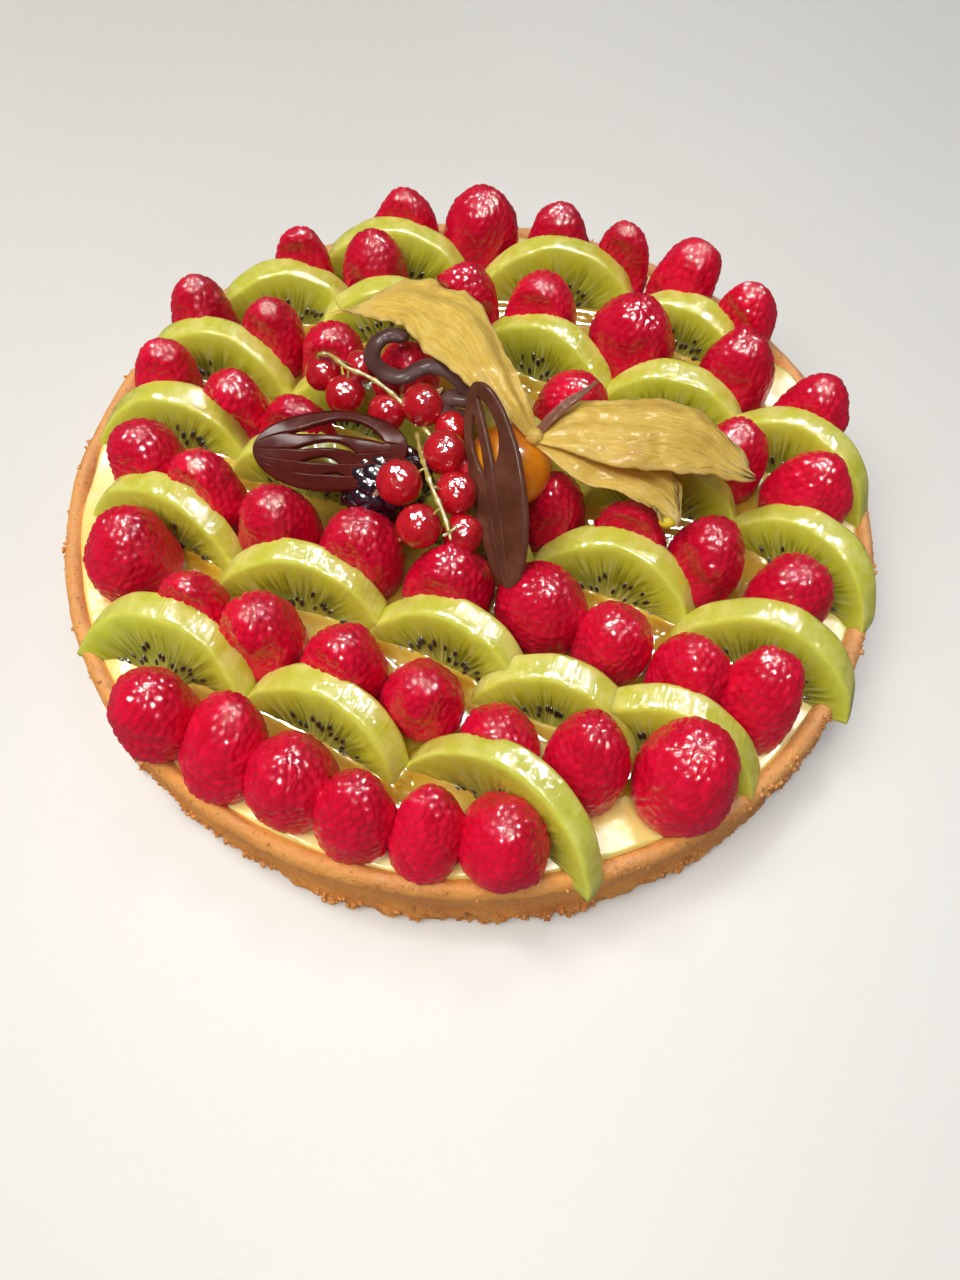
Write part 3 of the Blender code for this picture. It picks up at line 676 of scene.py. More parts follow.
def slice_point(slice_, angle, out, depth, height_scale=1.0):
    """A place in a slice: out from the disc's middle in radii, turned by an angle, at a depth.

    Across = out cos angle; up = out sin angle - cut. The slice is bowed forward by its bow times
    across squared, leans back, and stands on the bed.
    """
    foot, back, lean, radius, bow = slice_
    side = np.array([back[1], -back[0]])
    across, up = out * np.cos(angle), out * np.sin(angle) - SLICE_CUT
    level = up * radius * math.cos(lean)
    behind = up * radius * math.sin(lean) - bow * across**2 + depth * SLICE_THICKNESS / math.cos(lean)
    x = foot[0] + side[0] * across * radius + back[0] * behind
    y = foot[1] + side[1] * across * radius + back[1] * behind
    return np.stack([x, y, bed + level], -1)


def kiwi(slice_, number):
    """One slice: its section loop carried round the arc, with peeled facets and ray ridges."""
    random = np.random.default_rng(500 + number)
    start = math.asin(SLICE_CUT) + 0.035
    angle = np.linspace(start, math.pi - start, SLICE_TURNS)[:, None]
    share, depth = (slice_loop()[:, n][None] for n in range(2))
    cut = SLICE_CUT / np.sin(angle)
    phase = random.uniform(0, math.tau, 4)
    facets = 0.007 * np.cos(7 * angle + phase[0]) + 0.004 * np.cos(13 * angle + phase[1])
    facets = facets + 0.006 * np.cos(4 * angle + phase[2] + depth * 3) - 0.03 * np.abs(depth) ** 2
    out = cut + (1 + facets - cut) * share
    place = np.stack([angle * 9 + 0 * out, out * 1.5, np.full(out.shape, number * 1.7)], -1)
    pockets = smooth(out, 0.34, 0.48) * smooth(out, 0.78, 0.62)
    ridge = drift(place, 0.55, 91) * 0.035 * smooth(out, 0.95, 0.8) - 0.05 * pockets
    wave = drift(np.stack([out * np.cos(angle), out * np.sin(angle), 0 * out + number], -1), 0.5, 92) * 0.05
    sunk = np.where(share < 0.99, np.sign(depth) * (ridge + wave * smooth(share + 0 * out, 0.0, 0.2)), 0)
    points = slice_point(slice_, angle, out, depth + sunk)
    disc_place = np.stack([out * np.cos(angle), out * np.sin(angle), np.full(out.shape, number * 3.1)], -1)
    made = closed(np.concatenate([points, disc_place, depth[..., None] + 0 * out[..., None]], -1))
    return made[:, :3], skin(SLICE_TURNS, share.shape[1]), {"disc": made[:, 3:6], "depth": made[:, 6]}


fruit = Look("kiwi_flesh", Roughness=0.28)
spot = fruit.add("Attribute", attribute_name="disc").outputs["Vector"]
parts = fruit.add("SeparateXYZ", {0: spot})
x, y, which = (parts.outputs[n] for n in range(3))
out = fruit.math("SQRT", fruit.math("ADD", fruit.math("MULTIPLY", x, x), fruit.math("MULTIPLY", y, y)))
turn = fruit.math("ARCTAN2", y, x)
wobble = fruit.math("ADD", out, fruit.step(fruit.noise(3 * MM, 2), 0.3, 0.7, -0.03, 0.03))
colour = fruit.ramp(
    wobble, (0.18, (0.66, 0.66, 0.24)), (0.32, (0.40, 0.42, 0.07)), (0.53, (0.17, 0.18, 0.010)),
    (0.70, (0.38, 0.41, 0.018)), (0.86, (0.54, 0.58, 0.04)), (0.97, (0.64, 0.66, 0.09)),
)
polar = fruit.add("CombineXYZ", {0: fruit.math("MULTIPLY", turn, 14.0), 1: fruit.math("MULTIPLY", out, 1.1), 2: which})
rays = fruit.add("TexNoise", {"Vector": polar.outputs[0], "Scale": 1.5, "Detail": 2}).outputs["Fac"]
light_ray = fruit.math("MULTIPLY", fruit.step(rays, 0.50, 0.66), fruit.step(out, 0.95, 0.70))
light_ray = fruit.math("MULTIPLY", light_ray, fruit.step(out, 0.25, 0.40))
colour = fruit.mix(fruit.math("MULTIPLY", light_ray, 0.6), colour, (0.55, 0.58, 0.20))
dark_ray = fruit.math("MULTIPLY", fruit.step(rays, 0.48, 0.34), fruit.step(out, 0.90, 0.66))
colour = fruit.mix(fruit.math("MULTIPLY", dark_ray, 0.7), colour, (0.10, 0.13, 0.01))
patch = fruit.step(fruit.noise(8 * MM, 3), 0.4, 0.7, 0, 0.35)
colour = fruit.mix(patch, colour, (0.50, 0.55, 0.08))
band = fruit.step(fruit.math("ABSOLUTE", fruit.field("depth")), 0.49, 0.40)
band_colour = fruit.mix(fruit.step(fruit.noise(4 * MM, 3), 0.35, 0.7), (0.60, 0.61, 0.07), (0.74, 0.72, 0.19))
colour = fruit.mix(band, colour, band_colour)
wet = fruit.bump(fruit.noise(2.2 * MM, 3), 0.7 * MM, 0.8)
kiwi_look = fruit.finish(
    Base_Color=colour, Subsurface_Weight=0.45, Subsurface_Scale=3 * MM, Subsurface_Radius=(0.8, 1.0, 0.25),
    Coat_Weight=0.6, Coat_Roughness=0.03, Coat_Normal=wet, Normal=fruit.bump(rays, 0.4 * MM, 0.5),
    Specular_IOR_Level=0.1,
    Roughness=fruit.step(fruit.noise(5 * MM, 2), 0.3, 0.7, 0.2, 0.36),
)
count = 0
for run_name, slices in slice_runs.items():
    shapes = []
    for slice_ in slices:
        shapes.append(kiwi(slice_, count))
        count += 1
    run_piece = piece(f"kiwi_run_{run_name}", *gathered(shapes), kiwi_look)
    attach(run_piece, "root")
    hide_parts(f"kiwi_{run_name}")


# ---- Kiwi seeds ---------------------------------------------------------------------------
# Flat black-brown seeds, like small drops, in the pockets round the core. They point to the
# middle of the disc, and sit half in the cut face, both in front and behind.

SEED_LENGTH = 2.3 * MM
SEED_WIDTH = 1.05 * MM


def seed_shape():
    """A drop of five rings of six points: half width = sin of the turn times 1 - 0.35 length."""
    turn = np.linspace(0, math.pi, 7)[1:-1][:, None]
    around = np.arange(6)[None] * math.tau / 6
    length = -np.cos(turn) / 2
    half = np.sin(turn) / 2 * (1 - 0.5 * length)
    grid = np.stack([length + 0 * around, half * np.cos(around), half * np.sin(around)], -1)
    return closed(grid), skin(5, 6)


seed_points, seed_triangles = seed_shape()
shapes = []
for number, slice_ in enumerate(slice_ for slices in slice_runs.values() for slice_ in slices):
    random = np.random.default_rng(700 + number)
    for face in (-0.5, 0.5):
        angle = np.arange(0.5, 2.65, 0.105) + random.uniform(-0.03, 0.03, 21)
        angle = angle[random.random(21) < 0.86]
        out = random.choice([0.44, 0.52, 0.60], len(angle)) + random.uniform(-0.04, 0.04, len(angle))
        out = np.maximum(out, SLICE_CUT / np.sin(angle) + 0.07)
        for its_angle, its_out in zip(angle, out):
            here = slice_point(slice_, its_angle, its_out, face * 0.93)
            outward = slice_point(slice_, its_angle, its_out + 0.02, face * 0.93) - here
            outward /= np.linalg.norm(outward)
            through = slice_point(slice_, its_angle, its_out, face * 1.3) - here
            through -= outward * (through @ outward)
            through /= np.linalg.norm(through)
            side = np.cross(through, outward)
            size = random.uniform(0.75, 1.1)
            turned = seed_points[:, [0]] * outward * SEED_LENGTH + seed_points[:, [1]] * side * SEED_WIDTH
            turned = (turned + seed_points[:, [2]] * through * SEED_WIDTH * 0.8) * size + here
            shapes.append((turned, seed_triangles, {"tint": np.full(len(turned), random.random())}))
coat = Look("kiwi_seed", Roughness=0.3, Coat_Weight=0.8, Coat_Roughness=0.08)
colour = coat.mix(coat.field("tint"), (0.006, 0.004, 0.003), (0.035, 0.018, 0.010))
colour = coat.mix(coat.step(coat.noise(0.8 * MM, 2), 0.5, 0.8, 0, 0.4), colour, (0.06, 0.035, 0.015))
seed_look = coat.finish(Base_Color=colour, Normal=coat.bump(coat.noise(0.4 * MM, 2), 0.1 * MM, 0.5))
seeds = piece("kiwi_seeds", *gathered(shapes), seed_look)
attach(seeds, "root")


# ---- Glaze -------------------------------------------------------------------------------
# Clear apricot glaze, brushed on warm. It has run down between the fruit, where it stands in
# orange-yellow pools that climb each berry and slice it touches, and it thins out near the rim.

GLAZE_CLIMB = 1.5 * MM
GLAZE_REACH = 1.3 * MM


def glaze_height(x, y):
    """A nearly level pool, sinking under the cream beyond a wavy edge, plus a meniscus.

    The meniscus is climb times e to the power of minus distance over reach, for the nearest berry
    or slice; the distance is from a ring of points round the berry's foot, or from the slice's
    foot line, inside which it goes on up a little.
    """
    away = np.full(x.shape, 1.0)
    for foot in berry_feet:
        near = np.hypot(x - foot[:, 0].mean(), y - foot[:, 1].mean()) < 18 * MM
        gap = np.hypot(x[near][:, None] - foot[:, 0], y[near][:, None] - foot[:, 1]).min(1)
        away[near] = np.minimum(away[near], gap)
    for slices in slice_runs.values():
        for foot, back, lean, radius, bow in slices:
            dx, dy = x - foot[0], y - foot[1]
            across = dx * back[1] - dy * back[0]
            bowed = -bow * (across / radius) ** 2
            deep = np.abs(dx * back[0] + dy * back[1] - bowed) - SLICE_THICKNESS / 2 / math.cos(lean)
            past = np.abs(across) - 0.96 * radius
            gap = np.where(past > 0, np.hypot(past, np.maximum(deep, 0)), deep)
            away = np.minimum(away, gap)
    flat = np.stack([x, y, 0 * x], -1)
    edge = np.hypot(x, y) + drift(flat, 14 * MM, 71) * 4 * MM
    pool = CREAM_TOP + 0.75 * MM + drift(flat, 18 * MM, 72) * 0.25 * MM
    sink = smooth(edge, 80 * MM, 90 * MM) * 2.2 * MM
    climb = GLAZE_CLIMB * np.exp(-np.maximum(away, -0.6 * MM) / GLAZE_REACH)
    return pool - sink + climb * (1 - 0.6 * smooth(edge, 82 * MM, 92 * MM))


jelly = Look("apricot_glaze", Roughness=0.06)
shade = jelly.noise(12 * MM, 2)
colour = jelly.ramp(shade, (0.3, (0.44, 0.24, 0.014)), (0.5, (0.62, 0.42, 0.045)), (0.75, (0.80, 0.64, 0.16)))
normal = jelly.bump(jelly.noise(3.5 * MM, 2), 1.0 * MM, 0.5)
glaze_look = jelly.finish(
    Base_Color=colour, Normal=normal, Subsurface_Weight=0.7, Subsurface_Scale=4 * MM,
    Subsurface_Radius=(1.0, 0.6, 0.15), Coat_Weight=1.0, Coat_Roughness=0.02, IOR=1.38,
    Roughness=jelly.step(shade, 0.3, 0.7, 0.04, 0.1),
)
points, triangles = disc(150, 420, 94 * MM, glaze_height, 12 * MM)
glaze = piece("glaze", points, triangles, {}, glaze_look)
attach(glaze, "root")


# ---- Redcurrants ----------------------------------------------------------------------------
# Thirteen currants on two strings, laid over the middle. Tight clear skins with pale veins that
# show through, each hanging from a short stalk, with the dried flower at the far end.

string_low = np.array(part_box("redcurrants")[0])
# Middle of each currant from the box's low corner, and its diameter, in millimetres.
FIRST_STRING = np.array([
    (4.4, 49.5, 6.7, 8.8), (10.4, 43, 6.7, 9.8), (13.4, 50.5, 8.2, 8.4), (20.4, 46.5, 7.2, 8),
    (20.9, 38, 7.2, 9.2), (29.4, 38, 10.2, 10.2), (36.4, 33.5, 7.7, 8.4),
]) * MM
SECOND_STRING = np.array([
    (35.4, 23, 12.2, 10.2), (40.9, 22, 8.2, 7.4), (25.9, 14.5, 11.7, 10.6),
    (38.4, 13.5, 10.2, 9.8), (30.9, 5, 9.2, 10), (40.4, 6.5, 4.7, 9.4),
]) * MM
FIRST_STALK = np.array([
    (3.4, 50.5, 11.9), (6.7, 49.6, 12.9), (11.2, 45.6, 13.3), (15.9, 43.6, 13.1), (20, 41, 12.7),
    (24.4, 38.4, 10.5), (28.9, 34.5, 8.2), (31.9, 30.5, 8.2),
]) * MM
SECOND_STALK = np.array([
    (28.5, 31.2, 8.7), (29.3, 26.5, 11.2), (30.3, 21.5, 12.7), (31.6, 17, 13.9), (33.7, 11, 14.3),
    (36.3, 5.5, 13.5), (37.8, 1.5, 12.3),
]) * MM


def curve(stations, count):
    """A smooth line through the stations, each span a cubic whose slope at a station is half the
    step between its two neighbours."""
    p = np.asarray(stations, float)
    p = np.concatenate([[2 * p[0] - p[1]], p, [2 * p[-1] - p[-2]]])
    spot = np.linspace(0, len(p) - 3, count)
    i = np.minimum(spot.astype(int), len(p) - 4)
    t = (spot - i)[:, None]
    a, b, c, d = p[i], p[i + 1], p[i + 2], p[i + 3]
    return 0.5 * (2 * b + (c - a) * t + (2 * a - 5 * b + 4 * c - d) * t**2 + (3 * b - a - 3 * c + d) * t**3)


def strand(line, width, height, sides=10):
    """A strand along a line, with rounded ends.

    Each ring is an oval of the given width and height square to the line; towards an end, both
    shrink as the height of a ball does.
    """
    step = np.gradient(line, axis=0)
    step /= np.linalg.norm(step, axis=1, keepdims=True) + 1e-12
    side = np.cross(step, (0.0, 0.0, 1.0))
    side /= np.linalg.norm(side, axis=1, keepdims=True) + 1e-12
    up = np.cross(side, step)
    run = np.r_[0, np.cumsum(np.linalg.norm(np.diff(line, axis=0), axis=1))]
    half = np.maximum(np.broadcast_to(width, run.shape), 1e-6) / 2
    near_end = np.clip(np.minimum(run, run[-1] - run) / half, 0.02, 1)
    cap = np.sqrt(1 - (1 - near_end) ** 2)[:, None, None]
    turn = np.arange(sides)[None, :, None] * math.tau / sides
    width = np.broadcast_to(width, run.shape)[:, None, None]
    height = np.broadcast_to(height, run.shape)[:, None, None]
    ring = side[:, None] * np.cos(turn) * width / 2 + up[:, None] * np.sin(turn) * height / 2
    return closed(line[:, None] + ring * cap), skin(len(line), sides)


def globe(rows, columns):
    """Points of a unit ball in rings from its -Z end to its +Z end, closed."""
    rise = np.linspace(-math.pi / 2, math.pi / 2, rows + 2)[1:-1, None]
    turn = np.arange(columns)[None] * math.tau / columns
    grid = np.stack([np.cos(rise) * np.cos(turn), np.cos(rise) * np.sin(turn), np.sin(rise) + 0 * turn], -1)
    made = closed(grid)
    made[0], made[-1] = (0, 0, -1), (0, 0, 1)
    return made, skin(rows, columns)


def upright(axis):
    """Three unit vectors square to each other, the last along the axis."""
    axis = axis / np.linalg.norm(axis)
    side = np.cross((0.31, 0.95, 0.05), axis)
    side /= np.linalg.norm(side)
    return np.stack([side, np.cross(axis, side), axis])


currants, tufts, stalks = [], [], []
ball, ball_triangles = globe(26, 36)
for stalk, fruits in ((FIRST_STALK, FIRST_STRING), (SECOND_STALK, SECOND_STRING)):
    line = curve(stalk + string_low, 70)
    knots = 1 + 0.5 * np.exp(-((np.linspace(0, len(stalk) - 1, 70) % 1 - 0.5) / 0.13) ** 2)
    stalks.append((*strand(line, 1.0 * MM * knots, 0.9 * MM * knots, 9), {}))
    for fruit in fruits:
        middle, radius = fruit[:3] + string_low, fruit[3] / 2
        root = line[np.linalg.norm(line - middle, axis=1).argmin()]
        toward = (root - middle) / np.linalg.norm(root - middle)
        axes = upright(-toward)
        count = len(currants)
        swell = 1 + 0.02 * np.cos(5 * np.arctan2(ball[:, 1], ball[:, 0])) * (1 - ball[:, 2] ** 2)
        swell = swell + 0.025 * drift(ball + count * 3.3, 0.9, 95)
        body = (ball * swell[:, None] * (radius, radius, radius * 0.97)) @ axes + middle
        currants.append((body, ball_triangles, {"own": ball, "tint": np.full(len(body), count / 13)}))
        tip = middle - toward * radius * 0.95
        rows = np.linspace(0, 1, 9)[:, None]
        around = np.arange(15)[None] * math.tau / 15
        flare = (0.55 + 0.25 * np.cos(5 * around + 4 * rows) * rows - 0.15 * rows) * MM
        flare = flare * (1.5 - rows) + 0.1 * MM
        tuft = np.stack([flare * np.cos(around), flare * np.sin(around), 1.7 * MM * rows - 0.3 * MM + 0 * around], -1)
        tufts.append((closed(tuft @ axes + tip), skin(9, 15), {}))
        if np.linalg.norm(root - middle) > radius * 0.8:
            start = middle + toward * radius * 0.9
            bend = (start + root) / 2 + (0, 0, 0.5 * MM)
            stalks.append((*strand(curve([start, bend, root], 12), 0.65 * MM, 0.65 * MM, 7), {}))
fork = line[-1]
for step in ((1.6, 1.3, 0.6), (-1.4, -1.2, 0.3), (0.4, -1.8, -0.3)):
    end = fork + np.array(step) * MM
    stalks.append((*strand(curve([fork - (0, 0, 0.1 * MM), (fork + end) / 2, end], 8), 0.7 * MM, 0.6 * MM, 7), {}))

skinned = Look("redcurrant", Roughness=0.12)
parts = skinned.add("SeparateXYZ", {0: skinned.add("Attribute", attribute_name="own").outputs["Vector"]})
x, y, z = (parts.outputs[n] for n in range(3))
turn = skinned.math("ADD", skinned.math("ARCTAN2", y, x), skinned.step(skinned.noise(3 * MM, 2), 0.2, 0.8, -0.2, 0.2))
veins = skinned.math("ABSOLUTE", skinned.math("SINE", skinned.math("MULTIPLY", turn, 5.0)))
veins = skinned.step(veins, 0.22, 0.02, 0, 0.22)
colour = skinned.mix(skinned.field("tint"), (0.50, 0.003, 0.012), (0.62, 0.006, 0.018))
colour = skinned.mix(skinned.step(skinned.noise(2.5 * MM, 2), 0.45, 0.7, 0, 0.4), colour, (0.34, 0.001, 0.012))
colour = skinned.mix(veins, colour, (0.70, 0.06, 0.05))
colour = skinned.mix(skinned.step(z, 0.86, 0.97, 0, 0.7), colour, (0.22, 0.02, 0.01))
currant_look = skinned.finish(
    Base_Color=colour, Subsurface_Weight=0.55, Subsurface_Scale=3 * MM, Subsurface_Radius=(1.0, 0.10, 0.08),
    Coat_Weight=1.0, Coat_Roughness=0.03, Normal=skinned.bump(skinned.noise(2.2 * MM, 2), 0.6 * MM, 0.9),
    Roughness=skinned.step(skinned.noise(2 * MM, 2), 0.3, 0.7, 0.1, 0.2),
)
made = piece("currants", *gathered(currants), currant_look)
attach(made, "root")
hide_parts("redcurrants")

stem = Look("currant_stalk", Roughness=0.4, Coat_Weight=0.6, Coat_Roughness=0.1)
colour = stem.ramp(stem.noise(2.5 * MM, 3), (0.3, (0.30, 0.20, 0.02)), (0.55, (0.46, 0.36, 0.05)), (0.75, (0.55, 0.50, 0.14)))
stem_look = stem.finish(
    Base_Color=colour, Normal=stem.bump(stem.noise(0.6 * MM, 3), 0.15 * MM, 0.6), Subsurface_Weight=0.2,
    Subsurface_Scale=0.5 * MM, Roughness=stem.step(stem.noise(1 * MM, 2), 0.3, 0.7, 0.35, 0.5),
)
made = piece("currant_stalks", *gathered(stalks), stem_look)
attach(made, "root")

dried = Look("currant_flower", Roughness=0.8)
colour = dried.ramp(dried.noise(0.7 * MM, 3), (0.3, (0.20, 0.06, 0.02)), (0.6, (0.55, 0.30, 0.13)), (0.8, (0.66, 0.44, 0.22)))
dried_look = dried.finish(
    Base_Color=colour, Normal=dried.bump(dried.noise(0.4 * MM, 3), 0.2 * MM, 0.8),
    Roughness=dried.step(dried.noise(0.5 * MM, 2), 0.3, 0.7, 0.7, 0.9),
)
made = piece("currant_flowers", *gathered(tufts), dried_look)
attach(made, "root")


# ---- Bramble ----------------------------------------------------------------------------------
# One ripe bramble lying on its side under the currants: large, tight, near-black drupelets with
# small grey lights. It is held only by its neighbours.

BRAMBLE_TURN = math.radians(20)
BRAMBLE_HALF = np.array((8.75, 8.75, 11.0)) * MM
BRAMBLE_BEAD = 3.3 * MM
bramble_low, bramble_high = (np.array(corner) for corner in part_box("bramble"))


def beaded(rows, columns, half, beads, height, seed):
    """An egg covered with beads.

    The beads' middles lie evenly on the egg, each a golden angle round from the last. A point is
    raised by height times the root of 1 - (1 - s) squared, with s its gap to the second nearest
    bead less that to the nearest, over 0.8 of the bead spacing.
    """
    grid, triangles = globe(rows, columns)
    random = np.random.default_rng(seed)
    number = np.arange(beads) + 0.5
    level = 1 - 2 * number / beads
    turn = number * math.pi * (3 - math.sqrt(5))
    flat = np.sqrt(1 - level**2)
    middles = np.stack([flat * np.cos(turn), flat * np.sin(turn), level], -1)
    middles = (middles + random.uniform(-0.04, 0.04, middles.shape)) * half
    points = grid * half
    apart = np.sort(np.sqrt(((points[:, None] - middles[None]) ** 2).sum(2)), axis=1)
    spacing = math.sqrt(4 * math.pi * (half**2).mean() / beads)
    share = np.clip((apart[:, 1] - apart[:, 0]) / (0.8 * spacing), 0, 1)
    rise = height * np.sqrt(1 - (1 - share) ** 2) - height * 0.6
    return points + grid * rise[:, None], triangles, share


points, triangles, joints = beaded(76, 110, BRAMBLE_HALF, 78, 1.25 * MM, 12)
lying = np.array([math.cos(BRAMBLE_TURN), math.sin(BRAMBLE_TURN), 0])
axes = np.stack([np.cross((0, 0, 1), lying), (0, 0, 1), lying])
points = points @ axes + (bramble_low + bramble_high) / 2
dark = Look("bramble", Roughness=0.2)
colour = dark.ramp(dark.noise(3 * MM, 2), (0.35, (0.006, 0.003, 0.008)), (0.6, (0.016, 0.005, 0.016)), (0.8, (0.05, 0.006, 0.02)))
colour = dark.mix(dark.step(dark.field("joint"), 0.0, 0.3, 0.7, 0), colour, (0.002, 0.001, 0.003))
bramble_look = dark.finish(
    Base_Color=colour, Coat_Weight=1.0, Coat_Roughness=0.05, Normal=dark.bump(dark.noise(0.8 * MM, 2), 0.15 * MM, 0.5),
    Roughness=dark.step(dark.noise(2 * MM, 2), 0.3, 0.7, 0.15, 0.3),
)
made = piece("bramble_fruit", points, triangles, {"joint": joints}, bramble_look)
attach(made, "root")
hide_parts("bramble")


# ---- Physalis fruit ------------------------------------------------------------------------------
# The smooth orange fruit, with a waxy shine, faint lighter veins, and a dimple where it hangs
# from the joint of its husk.

husk_low = np.array(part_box("physalis_husk")[0])
HUSK_JOINT = np.array((49.3, 17.6, 7.9)) * MM + husk_low
fruit_low, fruit_high = (np.array(corner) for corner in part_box("physalis_fruit"))
middle, radius = (fruit_low + fruit_high) / 2, (fruit_high[2] - fruit_low[2]) / 2
points, triangles = globe(56, 84)
axes = upright(HUSK_JOINT - middle)
dimple = 1 - 0.16 * np.exp(-((1 - points[:, 2]) / 0.035))
lobes = 0.012 * np.cos(4 * np.arctan2(points[:, 1], points[:, 0])) * (1 - points[:, 2] ** 2)
lumps = 0.012 * drift(points, 0.7, 101)
shaped = points * (dimple + lobes + lumps)[:, None] * radius
wax = Look("physalis_fruit", Roughness=0.25)
colour = wax.ramp(wax.noise(6 * MM, 3), (0.3, (0.84, 0.20, 0.004)), (0.55, (0.93, 0.30, 0.008)), (0.8, (0.97, 0.40, 0.02)))
colour = wax.mix(wax.step(wax.noise(0.7 * MM, 2), 0.62, 0.72, 0, 0.35), colour, (1.0, 0.55, 0.08))
physalis_look = wax.finish(
    Base_Color=colour, Subsurface_Weight=0.4, Subsurface_Scale=4 * MM, Subsurface_Radius=(1.0, 0.4, 0.05),
    Specular_IOR_Level=0.1, Coat_Weight=0.5, Coat_Roughness=0.10, Normal=wax.bump(wax.noise(1.2 * MM, 3), 0.1 * MM, 0.5),
    Roughness=wax.step(wax.noise(3 * MM, 2), 0.3, 0.7, 0.22, 0.35),
)
made = piece("physalis_berry", shaped @ axes + middle, triangles, {}, physalis_look)
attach(made, "root")
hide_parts("physalis_fruit")


# ---- Physalis husk -------------------------------------------------------------------------------
# The papery calyx, torn open into two large lobes, one smaller one below and a narrow fold seen
# edge on, all from one joint. Dry, golden and veined, with thin, pale, torn ends.

HUSK_THICKNESS = 0.35 * MM
# Stations along each lobe's middle from the husk's low corner: x, y, z, half width as a step in
# x and y, and rise of the arch, in millimetres.
HUSK_LOBES = [np.array(lobe) * MM for lobe in (
    [
        (49.3, 17.6, 7.9, 1, 1, 0.2), (44.2, 22.6, 11.9, 2.9, 2.4, 1), (37, 33.6, 12.4, 4.7, 4.6, 2),
        (30.1, 47.1, 9.9, 5, 8.2, 3), (21.5, 56, 7.4, 3.6, 8.2, 2.5), (12.1, 60.6, 3.9, 1.6, 5.6, 1.5),
        (1.5, 59.9, 1.2, 0.3, 0.9, 0),
    ],
    [
        (49.3, 17.6, 7.9, 0.3, 1.4, 0.2), (57.8, 19.6, 8.9, 0.3, 7, 1.5), (67.3, 18.6, 9.4, 0.7, 9.2, 2.5),
        (77.8, 19.6, 8.4, 1.1, 9.7, 2.5), (86.8, 19.6, 6.4, 1, 7.9, 1.5), (94.3, 15.6, 3.9, 1.5, 4.5, 0.5),
        (100.6, 13.8, 1.9, 0.3, 0.6, 0),
    ],
    [
        (49.3, 17.6, 7.4, 0.3, 1.4, 0.2), (58.3, 13.1, 5.9, 0.3, 4.5, 1), (67.3, 11.6, 4.4, 0.6, 4.8, 1),
        (74.8, 9.6, 2.9, 1.3, 5.8, 1), (80.8, 6.6, 1.4, 1.6, 4.5, 0.5), (82.4, 0.6, 0.4, 0.2, 0.5, 0),
    ],
    [(49.3, 17.6, 8.4, 0.8, -0.8, 0), (55.8, 23.6, 11.4, 0.8, -0.8, 0.2), (62.8, 29.6, 13.9, 0.2, -0.2, 0)],
)]
# For each lobe: how deeply its edge is torn, how high its folds stand, its folds and its painted shade.
HUSK_MOODS = [(0.30, 0.40, 2, 0.1), (0.50, 0.30, 3, 0.0), (0.65, 0.35, 2, 0.2), (0.05, 0.1, 1, 1.0)]


def husk_lobe(stations, mood, seed):
    """One lobe: across its middle line runs an arch, rise (1 - t squared), t from -1 to 1.

    Its outline is torn by noise that grows toward the tip, and noise of t also cuts its length, so
    its end is ragged. Folds are cosines of t, creases are noise, and veins stand up at even steps
    of t. The back is the front moved down by the paper's thickness.
    """
    tear, fold, folds, shade = mood
    rows, half_columns = 110, 30
    line = curve(stations, rows)
    s = np.linspace(0, 1, rows)[:, None]
    t = np.linspace(-1, 1, half_columns)[None]
    place = np.stack([s * 9 + 0 * t, np.sign(t) * 4 + 0 * s, 0 * s + 0 * t + seed], -1)
    torn = 1 + tear * smooth(s, 0.35, 0.95) * layered(place, 0.9, seed, 3) * smooth(np.abs(t), 0.5, 1)
    torn = torn + 0.06 * layered(place, 0.35, seed + 3, 2) * np.abs(t)
    ragged = np.stack([t[0] * 4, 0 * t[0], 0 * t[0] + seed], -1)
    reach = 1 - 0.35 * tear * np.clip(0.5 + layered(ragged, 1.0, seed + 7, 3), 0, 1)
    x, y, z, across_x, across_y, arch = (np.interp(s * reach, s[:, 0], station) for station in line.T)
    x = x + across_x * t * torn
    y = y + across_y * t * torn
    z = z + arch * (1 - t**2)
    body = smooth(s, 0.0, 0.2) * smooth(s, 1.0, 0.7)
    flat = np.stack([x, y, 0 * z], -1)
    z = z + body * fold * MM * np.cos(folds * math.pi * t + 2.5 * drift(flat, 22 * MM, seed + 5))
    z = z + body * 1.5 * MM * layered(flat, 9 * MM, seed + 9, 3)
    vein = np.exp(-(((t * 3.5 + 0.15 * drift(place, 1.5, seed + 2)) % 1 - 0.5) / 0.09) ** 2)
    z = z + body * vein * 0.08 * MM
    edge = np.maximum(np.abs(t) + 0 * s, smooth(s, 0.55, 1.0))
    front = np.stack([x, y, z], -1)
    back = front[:, ::-1] - (0, 0, HUSK_THICKNESS)
    spots = np.stack([vein + 0 * s, edge, np.full(vein.shape, shade) + 0 * s, t + 0 * s, s * 3 + seed + 0 * t], -1)
    grid = np.concatenate([np.concatenate([front, back], 1), np.concatenate([spots, spots[:, ::-1]], 1)], -1)
    made = closed(grid)
    fields = {"vein": made[:, 3], "edge": made[:, 4], "shade": made[:, 5], "run": made[:, [6, 7, 7]]}
    return made[:, :3], skin(rows, 2 * half_columns), fields


